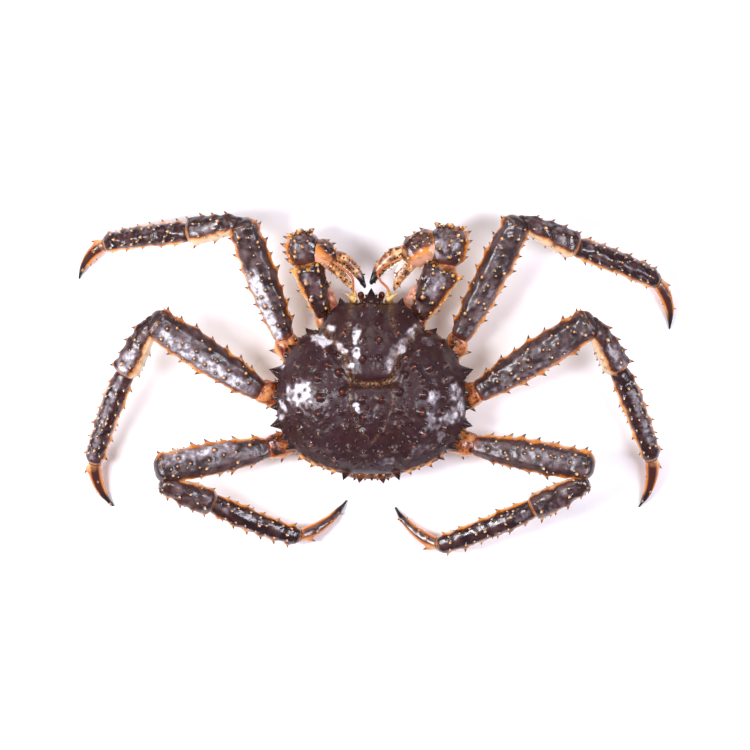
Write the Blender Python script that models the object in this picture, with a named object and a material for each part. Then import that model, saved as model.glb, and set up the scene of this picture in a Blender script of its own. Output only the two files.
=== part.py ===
"""A whole raw king crab, lying belly down with its six walking legs spread and its claws folded in front.

Metres, +Z up, +Y towards the rostrum, +X towards the crab's own right. The origin is on the floor, on the
crab's median plane, at the middle of the flat of the folded abdomen that the crab rests on.
Every shell segment is one closed solid. Neighbours keep a small gap, where the soft joint skin would be.
"""

import math
import random

import bmesh
import bpy
from mathutils import Matrix, Vector
from mathutils.geometry import delaunay_2d_cdt

MM = 0.001

# Body, in millimetres.
CARAPACE_HALF_WIDTH = 84.0
CARAPACE_TOP = 81.0
RIM_HEIGHT = 44.0
CARAPACE_FLOOR = 37.0
STERNUM_TOP = 36.6
STERNUM_FLOOR = 7.0
# How far the sternum reaches under the carapace, as a share of the carapace's own reach that way.
STERNUM_SHARE_SIDES = 0.77
STERNUM_SHARE_FRONT = 0.62
STERNUM_SHARE_BACK = 0.82
ROSTRUM_LENGTH = 19.0
# The abdomen's first segments behind the carapace, and the flap folded under the body. At each place along
# them: the outer skin in the median plane (y, z), the inner skin's offset from it, and the half width.
ABDOMEN_BASE = (
    (-72.0, 41.0, (8.0, -4.0), 13.0), (-79.0, 35.0, (14.5, 0.0), 18.0), (-80.5, 24.0, (16.5, 0.0), 24.0),
    (-78.0, 13.2, (15.5, 0.0), 29.0),
)
ABDOMEN_FLAP = (
    (-77.5, 12.4, (7.0, 0.0), 29.0), (-74.0, 4.5, (4.0, 5.0), 33.0), (-65.0, 0.0, (0.5, 6.3), 37.0),
    (-37.0, 0.0, (0.0, 6.3), 42.0), (-8.0, 0.0, (0.0, 6.3), 41.0), (22.0, 0.0, (0.0, 6.3), 30.0),
    (38.0, 1.2, (0.0, 5.0), 12.0),
)
PLATE_FLAT = 0.82
JOINT_GAP = 0.45

# The carapace's right half seen from above, from the middle of the front to the middle of the back.
OUTLINE = (
    (0.0, 85.0), (5.0, 83.0), (12.0, 77.0), (19.0, 77.5), (27.0, 79.5), (36.0, 70.0), (42.5, 62.0),
    (44.5, 54.0), (56.0, 51.5), (67.0, 42.5), (77.0, 28.5), (83.0, 12.0), (84.5, -6.0), (84.5, -22.0),
    (80.5, -36.0), (71.5, -50.5), (59.0, -61.0), (40.0, -69.5), (19.0, -74.0), (0.0, -75.0),
)
# Spines on the carapace's margin: bearing from the middle of the body, 90 being forwards, and length.
MARGIN_SPINES = (
    (71, 5.5), (57, 3.5), (43, 6.0), (28, 5.0), (11, 10.0), (-1, 3.5), (-10, 6.0), (-20, 8.5), (-29, 5.0),
    (-35, 6.5), (-44, 6.5), (-52, 6.5), (-59, 4.0), (-65, 6.0), (-73, 8.0),
)
# Tubercles on the back: pairs down the middle, at these places along Y, and those of the right lobe (x, y),
# which the left lobe mirrors. No two are quite as regular as this: each strays by up to TUBERCLE_STRAY.
PAIR_PLACES = (68.0, 56.0, 43.0, 27.5, -7.0, -22.5, -36.5, -56.0)
PAIR_HALF_GAP = 7.5
LOBE_TUBERCLES = (
    (24.5, 49.5), (61.0, 38.0), (41.0, 34.0), (29.5, 29.5), (38.0, 20.5), (51.5, 20.5), (65.0, 23.0),
    (28.5, 14.5), (46.5, 9.5), (66.5, 11.0), (24.5, -1.5), (45.0, -5.0), (62.5, -4.5), (75.5, -2.5),
    (24.0, -17.5), (45.0, -20.0), (63.5, -19.5), (76.0, -21.5), (23.0, -31.5), (45.0, -38.0), (62.5, -33.5),
    (20.5, -51.5), (36.5, -50.5), (54.0, -49.5), (31.5, -60.0),
)
TUBERCLE_STRAY = 1.5
TUBERCLE_HEIGHT = 4.2
TUBERCLE_RADIUS = 2.6
MESH_SPACING = 8.6
RIM_POINTS = 56

# Walking legs: where each leaves the body; the lengths of its coxa, merus, carpus, propodus and dactyl;
# their headings (0 right, 90 forwards); the height of each joint from the body to the tip; and how far the
# knee lies from the merus's own line.
MERUS_HALF_WIDTH = {1: 13.4, 2: 14.8, 3: 13.8}
LEG_POSES = {
    "leg_right_1": ((67.5, 25.3), (25, 120.5, 53.7, 87.3, 49.3), (61, 63.4, -23.7, -20.8, -72.2),
                    (20, 28, 58, 50, 18, 1.2), 2.0),
    "leg_right_2": ((67.5, -9.1), (29.5, 122.8, 47.8, 91.9, 50.4), (13, 32.1, -60.1, -67.3, -101.5),
                    (20, 28, 58, 50, 18, 1.2), 1.0),
    "leg_right_3": ((62.1, -43.5), (31.2, 108.5, 54.4, 94.4, 54.7), (-11.7, -10.1, -152.7, -157.1, -219.6),
                    (20, 28, 54, 40, 16, 1.2), 13.0),
    "leg_left_1": ((-67.2, 25.3), (24.6, 115.1, 46.1, 85.9, 46.3), (117, 110, 188.9, 185.7, 228.5),
                   (20, 28, 66, 57, 20, 1.2), 2.0),
    "leg_left_2": ((-67.2, -9.1), (34.0, 119.9, 51.6, 93.8, 49.3), (166.5, 146.3, 241.5, 247.8, 290),
                   (20, 28, 68, 58, 20, 1.2), 1.0),
    "leg_left_3": ((-61.8, -43.5), (31.7, 104.5, 50.5, 86.6, 57.4), (196, 190.6, 337, 337.1, 395.7),
                   (20, 28, 60, 42, 17, 1.2), 12.0),
}
COXA_INSET = 15.0
DACTYL_BOW = 5.0
PROPODUS_BOW = 1.5
FINGER_BOWS = {"finger": -4.0, "thumb": -2.5}

# Claws: each piece's start, heading, length, half width, half depth and the height it ends at.
CLAWS = {
    "claw_right": {
        "coxa": ((29.5, 45.0, 20.0), 56, 27.0, 9.5, 8.5, 28.0),
        "merus": ((42.5, 65.0, 29.5), 63.5, 52.0, 16.5, 12.5, 42.0),
        "carpus": ((66.0, 112.0, 42.0), 82, 36.0, 17.0, 14.0, 44.0),
        "palm": ((61.0, 134.0, 45.0), 205, 36.0, 14.0, 12.0, 42.0),
        "thumb": ((39.0, 117.0, 40.0), 236, 34.0, 6.0, 5.5, 33.0),
        "finger": ((30.0, 125.0, 43.0), 224, 44.0, 7.2, 6.5, 34.0),
    },
    "claw_left": {
        "coxa": ((-30.0, 45.0, 20.0), 121, 28.0, 9.0, 8.2, 28.0),
        "merus": ((-43.0, 66.0, 29.5), 106.5, 50.0, 13.8, 11.5, 42.0),
        "carpus": ((-57.0, 112.0, 42.0), 102, 31.0, 14.0, 12.5, 44.0),
        "palm": ((-54.0, 130.0, 45.0), 319, 28.0, 11.0, 10.0, 41.0),
        "thumb": ((-38.5, 113.0, 40.0), 313, 33.0, 4.8, 4.8, 33.0),
        "finger": ((-33.3, 121.9, 42.2), 313, 42.0, 5.7, 5.5, 34.0),
    },
}

# The antennae: points along each from its root, and how thick it is at the root and along the whip.
ANTENNAE = {
    "antenna_right": ((16.0, 77.0, 33.0), (16.0, 84.0, 38.0), (14.5, 91.0, 45.5), (8.0, 98.0, 47.0),
                      (6.0, 105.0, 47.0), (12.0, 110.5, 47.8), (20.0, 114.5, 50.5), (28.0, 118.0, 53.5)),
    "antenna_left": ((-16.0, 77.0, 33.0), (-16.0, 84.0, 38.0), (-16.3, 90.0, 45.5), (-16.3, 97.0, 49.0),
                     (-18.0, 102.0, 50.0), (-25.0, 108.0, 51.0), (-34.0, 114.0, 52.5), (-42.0, 117.5, 56.0)),
}
ANTENNA_ROOT = (4.3, 4.0, 2.6, 1.6)
ANTENNA_WHIP = 1.1
EYE_STALK = ((8.0, 79.5, 36.0), (9.8, 87.5, 42.5))
EYE_RADII = (2.8, 3.4)
JAW = ((10.0, 52.0, 18.0), (11.0, 61.0, 15.0), (9.5, 70.0, 18.0), (7.0, 77.0, 27.0))
JAW_RADII = (4.5, 6.0, 6.2, 5.6, 4.6, 2.8)

# Which pieces of a claw give way to which others.
CLAW_CUTS = (
    ("merus", "coxa"), ("carpus", "merus"), ("palm", "carpus"), ("palm", "merus"), ("finger", "palm"),
)

# Each kind of segment: half width and half depth along it as shares of the largest, how far it reaches past
# its outer joint as a share of its length, and its rows of spines as (angle round it, 0 at its leading edge
# and 90 on top; how many; length in millimetres; first and last place along it).
FORMS = {
    "coxa": {
        "width": (0.85, 0.95, 1.0, 1.0), "depth": (0.85, 0.95, 1.0, 1.0),
        "reach": 0.12, "rings": 3, "sides": 10,
        "spines": ((180, 1, 6.0, 0.8, 0.8), (0, 1, 4.0, 0.75, 0.75)),
    },
    "claw_coxa": {
        "width": (0.85, 0.95, 1.0, 1.0), "depth": (0.85, 0.95, 1.0, 1.0),
        "reach": 0.12, "rings": 3, "sides": 10, "spines": (),
    },
    "merus": {
        "width": (0.66, 0.88, 1.0, 1.0, 0.90), "depth": (0.72, 0.92, 1.0, 1.0, 0.95),
        "reach": 0.03, "rings": 5, "sides": 10,
        "spines": ((8, 7, 5.0, 0.14, 0.95), (172, 6, 4.4, 0.2, 0.92), (62, 3, 3.4, 0.2, 0.85),
                   (118, 3, 3.4, 0.32, 0.90)),
    },
    "carpus": {
        "width": (0.66, 0.84, 1.0, 1.0), "depth": (0.72, 0.88, 1.0, 1.0),
        "reach": 0.07, "rings": 4, "sides": 10,
        "spines": ((12, 4, 4.4, 0.2, 0.95), (72, 2, 3.4, 0.35, 0.85), (165, 2, 3.6, 0.5, 0.9)),
    },
    "propodus": {
        "width": (0.86, 1.0, 0.96, 0.92, 0.82), "depth": (0.86, 1.0, 0.96, 0.92, 0.86),
        "reach": 0.04, "rings": 5, "sides": 10,
        "spines": ((6, 6, 3.8, 0.12, 0.94), (174, 5, 3.4, 0.16, 0.92), (90, 3, 3.0, 0.2, 0.85)),
    },
    "dactyl": {
        "width": (1.0, 0.90, 0.72, 0.48, 0.12), "depth": (1.0, 0.92, 0.76, 0.50, 0.14),
        "reach": 0.0, "rings": 5, "sides": 8,
        "spines": ((5, 1, 4.0, 0.14, 0.14),),
    },
    "claw_merus": {
        "width": (0.50, 0.72, 0.92, 1.0), "depth": (0.70, 0.88, 1.0, 1.0),
        "reach": 0.08, "rings": 4, "sides": 10,
        "spines": ((175, 3, 4.5, 0.25, 0.9), (5, 2, 4.5, 0.55, 0.92), (70, 2, 4.0, 0.4, 0.85),
                   (115, 2, 4.0, 0.4, 0.7)),
    },
    "claw_carpus": {
        "width": (0.78, 0.98, 1.0, 0.66), "depth": (0.8, 1.0, 1.0, 0.7),
        "reach": 0.0, "rings": 4, "sides": 10,
        "spines": ((172, 4, 5.5, 0.2, 0.85), (8, 2, 4.5, 0.7, 0.95), (60, 1, 4.0, 0.5, 0.5),
                   (120, 2, 4.5, 0.3, 0.75), (90, 1, 5.5, 0.97, 0.97)),
    },
    "palm": {
        "width": (0.80, 1.0, 0.98, 0.72), "depth": (0.84, 1.0, 0.96, 0.72),
        "reach": 0.0, "rings": 4, "sides": 10,
        "spines": ((176, 4, 4.5, 0.25, 0.92), (135, 2, 3.8, 0.3, 0.85), (75, 1, 4.5, 0.85, 0.85)),
    },
    "finger": {
        "width": (0.95, 1.0, 0.86, 0.62, 0.22), "depth": (0.95, 1.0, 0.88, 0.66, 0.24),
        "reach": 0.0, "rings": 5, "sides": 8,
        "spines": ((150, 2, 2.4, 0.2, 0.55),),
    },
}
SPINE_LEAN = 28.0
SPINE_SLENDERNESS = 0.40
SPINE_SIDES = 4
SPINE_ROOT = 1.4
# How square a limb's cross-section is: 1 is an ellipse, 0 a rectangle.
ROUNDNESS = 0.84

# sRGB colours of the raw shell, as 0 to 1.
SHELL_COLOUR = (0.36, 0.25, 0.27)
JOINT_COLOUR = (0.66, 0.40, 0.24)
BELLY_COLOUR = (0.84, 0.66, 0.50)
CLAW_COLOUR = (0.45, 0.30, 0.28)
HORN_COLOUR = (0.45, 0.20, 0.10)
EYE_COLOUR = (0.03, 0.03, 0.03)


def clear_scene():
    for item in list(bpy.data.objects):
        bpy.data.objects.remove(item, do_unlink=True)


def make_material(name, colour, roughness):
    material = bpy.data.materials.new(name)
    material.use_nodes = True
    shader = material.node_tree.nodes["Principled BSDF"]
    linear = [((c + 0.055) / 1.055) ** 2.4 if c > 0.04045 else c / 12.92 for c in colour]
    shader.inputs["Base Color"].default_value = (*linear, 1.0)
    shader.inputs["Roughness"].default_value = roughness
    material.diffuse_color = (*linear, 1.0)
    return material


def along(knots, t):
    """A smooth curve through evenly spaced values, read at t from 0 to 1."""
    last = len(knots) - 1
    x = min(max(t, 0.0), 1.0) * last
    i = min(int(x), last - 1)
    f = x - i
    before, here, after, beyond = knots[max(i - 1, 0)], knots[i], knots[i + 1], knots[min(i + 2, last)]
    return 0.5 * (
        2 * here
        + (after - before) * f
        + (2 * before - 5 * here + 4 * after - beyond) * f * f
        + (3 * here - before - 3 * after + beyond) * f**3
    )


def smooth_step(low, high, x):
    t = min(max((x - low) / (high - low), 0.0), 1.0)
    return t * t * (3 - 2 * t)


def link_mesh(name, bm, material=None):
    bmesh.ops.recalc_face_normals(bm, faces=bm.faces)
    mesh = bpy.data.meshes.new(name)
    bm.to_mesh(mesh)
    bm.free()
    item = bpy.data.objects.new(name, mesh)
    bpy.context.scene.collection.objects.link(item)
    if material:
        mesh.materials.append(material)
    return item


def skin_rings(bm, rings):
    """Joins rings of vertices with quads and closes both ends with a fan to the end's middle."""
    for lower, upper in zip(rings, rings[1:]):
        for i in range(len(lower)):
            j = (i + 1) % len(lower)
            bm.faces.new((lower[i], lower[j], upper[j], upper[i]))
    for ring in (rings[0], rings[-1]):
        middle = bm.verts.new(sum((v.co for v in ring), Vector()) / len(ring))
        for i in range(len(ring)):
            bm.faces.new((ring[i], ring[(i + 1) % len(ring)], middle))


class Segment:
    """One shell segment of a limb: a rounded tube on a gently bowed line, broad side up."""

    def __init__(self, kind, start, end, half_width, half_depth, side_sign, bow=0.0):
        self.form = FORMS[kind]
        self.start = Vector(start)
        run = Vector(end) - self.start
        self.length = run.length
        self.axis = run.normalized()
        self.up = (Vector((0, 0, 1)) - self.axis * self.axis.z).normalized()
        self.side = self.up.cross(self.axis) * side_sign
        self.half_width, self.half_depth = half_width, half_depth
        self.bow = bow

    def centre(self, t):
        bend = 4 * t * (1 - t) * self.bow
        return self.start + self.axis * (self.length * t) + self.side * bend

    def sizes(self, t):
        return self.half_width * along(self.form["width"], t), self.half_depth * along(self.form["depth"], t)

    def point(self, t, angle):
        """A point of the skin: t along the segment, and the angle round it with 90 on top."""
        width, depth = self.sizes(t)
        out, over = (
            math.copysign(abs(part) ** ROUNDNESS, part)
            for part in (math.cos(math.radians(angle)), math.sin(math.radians(angle)))
        )
        return self.centre(t) + self.side * (width * out) + self.up * (depth * over)

    def normal(self, t, angle):
        width, depth = self.sizes(t)
        rad = math.radians(angle)
        return (self.side * (math.cos(rad) / width) + self.up * (math.sin(rad) / depth)).normalized()

    def stations(self):
        """Places along the segment with the share of full size there, less at both ends to round them."""
        far = 1.0 + self.form["reach"]
        count = self.form["rings"]
        body = [0.07 + (far - 0.14) * i / (count - 1) for i in range(count)]
        tip_share = 1.0 if self.form["reach"] == 0 and self.form["width"][-1] < 0.3 else 0.62
        return [(0.0, 0.7), *((t, 1.0) for t in body), (far, tip_share)]

    def holds(self, point, margin):
        """Whether a point is inside the segment, or within margin of it."""
        offset = point - self.start
        t = offset.dot(self.axis) / self.length
        slack = margin / self.length
        if not -slack <= t <= 1 + self.form["reach"] + slack:
            return False
        width, depth = self.sizes(t)
        rest = point - self.centre(min(max(t, 0.0), 1.0))
        return (rest.dot(self.side) / (width + margin)) ** 2 + (rest.dot(self.up) / (depth + margin)) ** 2 < 1

    def shell(self, name, material=None):
        bm = bmesh.new()
        rings = []
        for t, share in self.stations():
            middle = self.centre(t)
            ring = []
            for i in range(self.form["sides"]):
                skin = self.point(t, 360.0 * (i + 0.5) / self.form["sides"])
                ring.append(bm.verts.new((middle + (skin - middle) * share) * MM))
            rings.append(ring)
        skin_rings(bm, rings)
        return link_mesh(name, bm, material)

    def spines(self, rng, obstacles):
        """Root, direction and length of each spine of the segment, leaning towards its outer end."""
        found = []
        for angle, count, length, first, last in self.form["spines"]:
            for i in range(count):
                share = i / (count - 1) if count > 1 else 0.0
                t = first + (last - first) * share + rng.uniform(-0.02, 0.02)
                turn = angle + rng.uniform(-7, 7)
                size = length * rng.uniform(0.8, 1.15)
                root, out = self.point(t, turn), self.normal(t, turn)
                lean = math.radians(SPINE_LEAN)
                way = (out * math.cos(lean) + self.axis * math.sin(lean)).normalized()
                reached = [root + way * (size * step) for step in (0.0, 0.5, 1.0)]
                if not any(o.holds(p, 2.0) for o in obstacles for p in reached):
                    found.append((root, way, size))
        return found


def spine_mesh():
    """A unit spine: a cone of radius 1 with its foot at 0 and its tip at 1 along +Z."""
    bm = bmesh.new()
    foot = []
    for i in range(SPINE_SIDES):
        turn = math.tau * i / SPINE_SIDES
        foot.append(bm.verts.new((math.cos(turn), math.sin(turn), 0)))
    tip = bm.verts.new((0, 0, 1))
    bm.faces.new(foot)
    for i in range(SPINE_SIDES):
        bm.faces.new((foot[i], foot[(i + 1) % SPINE_SIDES], tip))
    bmesh.ops.recalc_face_normals(bm, faces=bm.faces)
    mesh = bpy.data.meshes.new("spine")
    bm.to_mesh(mesh)
    bm.free()
    return mesh


def boolean(item, operation, others):
    """Joins the other objects to item, or cuts them from it, in one applied Boolean, and removes them."""
    if not others:
        return
    group = bpy.data.collections.new("operands")
    bpy.context.scene.collection.children.link(group)
    for other in others:
        for home in list(other.users_collection):
            home.objects.unlink(other)
        group.objects.link(other)
    modifier = item.modifiers.new(operation, "BOOLEAN")
    modifier.operand_type = "COLLECTION"
    modifier.collection = group
    modifier.operation = operation
    modifier.solver = "EXACT"
    bpy.context.view_layer.update()
    result = bpy.data.meshes.new_from_object(item.evaluated_get(bpy.context.evaluated_depsgraph_get()))
    item.modifiers.clear()
    item.data = result
    for other in others:
        bpy.data.objects.remove(other, do_unlink=True)
    bpy.data.collections.remove(group)


def add_spines(item, unit_spine, spines, radius_share=SPINE_SLENDERNESS):
    """Fuses spines to item. Each root is sunk a little under the skin."""
    cones = []
    for root, way, length in spines:
        cone = bpy.data.objects.new("spine", unit_spine)
        radius = length * radius_share
        turn = way.to_track_quat("Z", "Y").to_matrix().to_4x4()
        size = Matrix.Diagonal((radius * MM, radius * MM, (length + SPINE_ROOT) * MM, 1.0))
        cone.matrix_world = Matrix.Translation((root - way * SPINE_ROOT) * MM) @ turn @ size
        bpy.context.scene.collection.objects.link(cone)
        cones.append(cone)
    boolean(item, "UNION", cones)


def copy_of(item):
    copy = bpy.data.objects.new(item.name + "_copy", item.data.copy())
    bpy.context.scene.collection.objects.link(copy)
    return copy


def grown_copy(item, gap=JOINT_GAP):
    """A copy of item whose skin is pushed out by the gap that its neighbours keep."""
    copy = copy_of(item)
    normals = [vertex.normal.copy() for vertex in copy.data.vertices]
    for vertex, normal in zip(copy.data.vertices, normals):
        vertex.co += normal * (gap * MM)
    return copy


def ends_of(start, heading, length, end_height):
    """The far end of a piece that starts at start, keeps to a heading and ends at a height."""
    rise = end_height - start[2]
    level = math.sqrt(length * length - rise * rise)
    turn = math.radians(heading)
    return start[0] + level * math.cos(turn), start[1] + level * math.sin(turn), end_height


def leg_segments(name):
    """The five segments of one walking leg, from the body outwards."""
    side_sign = 1 if "right" in name else -1
    root, lengths, headings, heights, knee_out = LEG_POSES[name]
    widths = (10.5, MERUS_HALF_WIDTH[int(name[-1])], 11.5, 9.8, 6.6)
    depths = (8.5, 11.4, 10.4, 9.0, 5.8)
    bows = (0.0, 0.0, 0.0, PROPODUS_BOW, DACTYL_BOW)
    kinds = ("coxa", "merus", "carpus", "propodus", "dactyl")
    start = (*root, heights[0])
    segments = {}
    for i, kind in enumerate(kinds):
        end = ends_of(start, headings[i], lengths[i], heights[i + 1])
        if kind == "coxa":
            start = ends_of(start, headings[i] + 180, COXA_INSET, heights[0])
        segments[kind] = Segment(kind, start, end, widths[i], depths[i], side_sign, bows[i])
        start = end
        if kind == "merus":
            knee = segments[kind].side * -knee_out
            start = (end[0] + knee.x, end[1] + knee.y, end[2])
    return segments


def claw_segments(name):
    """The pieces of one claw. The thumb is the fixed finger, which is one with the palm."""
    side_sign = 1 if "right" in name else -1
    kinds = {"coxa": "claw_coxa", "merus": "claw_merus", "carpus": "claw_carpus", "thumb": "finger"}
    segments = {}
    for piece, (start, heading, length, half_width, half_depth, end_height) in CLAWS[name].items():
        end = ends_of(start, heading, length, end_height)
        kind, bow = kinds.get(piece, piece), FINGER_BOWS.get(piece, 0.0)
        segments[piece] = Segment(kind, start, end, half_width, half_depth, side_sign, bow)
    return segments


def outline_points():
    right = [Vector((x, y)) for x, y in OUTLINE]
    left = [Vector((-p.x, p.y)) for p in reversed(right[1:-1])]
    return right + left


def outline_radius(bearing):
    """Distance from the middle of the body to the carapace's margin at a bearing in degrees."""
    knots = sorted((math.degrees(math.atan2(p.y, p.x)) % 360, p.length) for p in outline_points())
    bearing %= 360
    knots = [(knots[-1][0] - 360, knots[-1][1]), *knots, (knots[0][0] + 360, knots[0][1])]
    for (low, r_low), (high, r_high) in zip(knots, knots[1:]):
        if low <= bearing <= high:
            return r_low + (r_high - r_low) * smooth_step(low, high, bearing)
    return knots[0][1]


def relief(x, y):
    """Height of the carapace's regions above its plain dome, and depth of the grooves between them."""
    across = abs(x)
    gastric = 5.0 * math.exp(-((across / 27.0) ** 4) - ((y - 43.0) / 33.0) ** 4)
    branchial = 4.5 * math.exp(-(((across - 50.0) / 30.0) ** 2) - ((y + 12.0) / 42.0) ** 2)
    cardiac_edge = 19.0 * (1.0 - smooth_step(-46.0, 10.0, -y - 36.0)) + 3.0
    cardiac_length = smooth_step(-52, -40, y) * (1 - smooth_step(-2, 6, y))
    cardiac = 2.5 * math.exp(-((across / cardiac_edge) ** 4)) * cardiac_length
    neck_groove = 3.5 * math.exp(-(((y - 7.0) / 4.0) ** 2)) * (1 - smooth_step(18, 30, across))
    groove_line = 19.5 + 0.45 * (y - 7.5)
    side_groove = 3.5 * math.exp(-(((across - groove_line) / 4.5) ** 2)) * smooth_step(0, 12, y)
    return gastric + branchial + cardiac - neck_groove - side_groove


def carapace_height(x, y, share):
    """Height of the carapace's upper skin, where share is the distance out from 0 in the middle to 1."""
    dome = max(1.0 - share**2.3, 0.0) ** 0.72
    fade = 1.0 - smooth_step(0.72, 1.0, share)
    return RIM_HEIGHT + (CARAPACE_TOP - RIM_HEIGHT) * dome + relief(x, y) * fade


def rim_point(i, share=1.0):
    """One of the evenly counted points round the margin, or the same point drawn in towards the middle."""
    bearing = 360.0 * (i + 0.5) / RIM_POINTS
    reach = outline_radius(bearing) * share
    return Vector((reach * math.cos(math.radians(bearing)), reach * math.sin(math.radians(bearing))))


def out_share(x, y):
    """How far out a point is: 0 at the middle of the body and 1 at the margin."""
    return math.hypot(x, y) / outline_radius(math.degrees(math.atan2(y, x)))


def carapace_shell(name, material):
    """The carapace without spines: a domed top on an even net of points, a sharp margin, a flat underside."""
    rim = [rim_point(i) for i in range(RIM_POINTS)]
    net = []
    row_step = MESH_SPACING * math.sqrt(3) / 2
    rows = int(2 * CARAPACE_HALF_WIDTH / row_step)
    for row in range(-rows, rows + 1):
        for column in range(-rows, rows + 1):
            x = (column + 0.5 * (row % 2)) * MESH_SPACING
            y = row * row_step
            if out_share(x, y) < 0.94:
                net.append(Vector((x, y)))
    edges = [(i, (i + 1) % RIM_POINTS) for i in range(RIM_POINTS)]
    points, _, faces, *_ = delaunay_2d_cdt(rim + net, edges, [], 1, 1e-4)
    bm = bmesh.new()
    top = []
    for p in points:
        z = carapace_height(p.x, p.y, min(out_share(p.x, p.y), 1.0))
        top.append(bm.verts.new(Vector((p.x, p.y, z)) * MM))
    for face in faces:
        bm.faces.new([top[i] for i in face])
    rings = [top[:RIM_POINTS]]
    for share, z in ((0.92, 40.5), (0.78, CARAPACE_FLOOR + 1.0), (0.64, CARAPACE_FLOOR)):
        ring = [rim_point(i, share) for i in range(RIM_POINTS)]
        rings.append([bm.verts.new(Vector((p.x, p.y, z)) * MM) for p in ring])
    for upper, lower in zip(rings, rings[1:]):
        for i in range(RIM_POINTS):
            j = (i + 1) % RIM_POINTS
            bm.faces.new((upper[i], lower[i], lower[j], upper[j]))
    middle = bm.verts.new(Vector((0, 0, CARAPACE_FLOOR)) * MM)
    for i in range(RIM_POINTS):
        bm.faces.new((rings[-1][i], rings[-1][(i + 1) % RIM_POINTS], middle))
    return link_mesh(name, bm, material)


def carapace_spines(rng):
    """Tubercles over the back, sharp spines round the margin, and the rostrum."""
    places = [(sign * PAIR_HALF_GAP, y) for y in PAIR_PLACES for sign in (-1, 1)]
    places += [(sign * x, y) for x, y in LOBE_TUBERCLES for sign in (-1, 1)]
    found = []
    for x, y in places:
        x += rng.uniform(-TUBERCLE_STRAY, TUBERCLE_STRAY)
        y += rng.uniform(-TUBERCLE_STRAY, TUBERCLE_STRAY)
        size = TUBERCLE_HEIGHT * rng.uniform(0.7, 1.25)
        share = out_share(x, y)
        if share < 0.93:
            out = Vector((x, y, 90.0)).normalized()
            found.append((Vector((x, y, carapace_height(x, y, share))), out, size))
    margin = []
    for bearing, length in MARGIN_SPINES:
        for sign in (-1, 1):
            turn = math.radians(bearing)
            reach = outline_radius(bearing)
            root = Vector((sign * reach * math.cos(turn), reach * math.sin(turn), RIM_HEIGHT + 0.5))
            way = Vector((sign * math.cos(turn), math.sin(turn), 0.12)).normalized()
            margin.append((root - way * 1.5, way, length + 1.5))
    rostrum = [(Vector((0, 73.0, 48.0)), Vector((0, 1.0, 0.22)).normalized(), ROSTRUM_LENGTH)]
    return found, margin, rostrum


def sternum_shell(name, material):
    """The block under the carapace that carries the limbs."""
    sides = 24
    levels = ((0.80, STERNUM_FLOOR), (0.97, STERNUM_FLOOR + 7), (1.0, 26.0), (0.96, STERNUM_TOP))
    bm = bmesh.new()
    rings = []
    for share, z in levels:
        ring = []
        for i in range(sides):
            bearing = 360.0 * (i + 0.5) / sides
            x, y = math.cos(math.radians(bearing)), math.sin(math.radians(bearing))
            end_share = STERNUM_SHARE_FRONT if y > 0 else STERNUM_SHARE_BACK
            reach = outline_radius(bearing) * share * (STERNUM_SHARE_SIDES * x * x + end_share * y * y)
            ring.append(bm.verts.new(Vector((reach * x, reach * y, z)) * MM))
        rings.append(ring)
    skin_rings(bm, rings)
    return link_mesh(name, bm, material)


def plate(name, path, material):
    """A plate across the median plane, swept along its outer skin and closed by its inner skin."""
    bm = bmesh.new()
    rings = []
    for y, z, (in_y, in_z), half in path:
        outer = Vector((0, y, z))
        inner = Vector((0, y + in_y, z + in_z))
        middle = (outer + inner) / 2
        edge = half * PLATE_FLAT
        ring = [outer + Vector((share * edge, 0, 0)) for share in (-1.0, -0.3, 0.35, 1.0)]
        ring.append(middle + Vector((half, 0, 0)))
        ring += [inner + Vector((edge, 0, 0)), inner + Vector((-edge, 0, 0))]
        ring.append(middle + Vector((-half, 0, 0)))
        rings.append([bm.verts.new(point * MM) for point in ring])
    skin_rings(bm, rings)
    return link_mesh(name, bm, material)


def abdomen_spines():
    """The short spines that show behind the carapace."""
    found = []
    for x, length in ((-10.0, 5.5), (0.5, 3.5), (10.0, 6.0)):
        found.append((Vector((x, -78.5, 35.0)), Vector((x * 0.02, -1.0, 0.1)).normalized(), length))
    return found


def tube(name, points, radii, sides, material):
    """A round tapering tube through points."""
    bm = bmesh.new()
    rings = []
    for i, point in enumerate(points):
        ahead = (points[min(i + 1, len(points) - 1)] - points[max(i - 1, 0)]).normalized()
        across = ahead.orthogonal() if i == 0 else across - ahead * across.dot(ahead)
        across.normalize()
        other = ahead.cross(across)
        ring = []
        for k in range(sides):
            turn = math.tau * k / sides
            out = across * math.cos(turn) + other * math.sin(turn)
            ring.append(bm.verts.new((point + out * radii[i]) * MM))
        rings.append(ring)
    skin_rings(bm, rings)
    return link_mesh(name, bm, material)


def curve_through(points, count):
    """Evenly counted points on a smooth curve through a few hand-placed ones."""
    return [
        Vector([along([p[k] for p in points], i / (count - 1)) for k in range(3)])
        for i in range(count)
    ]


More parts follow.
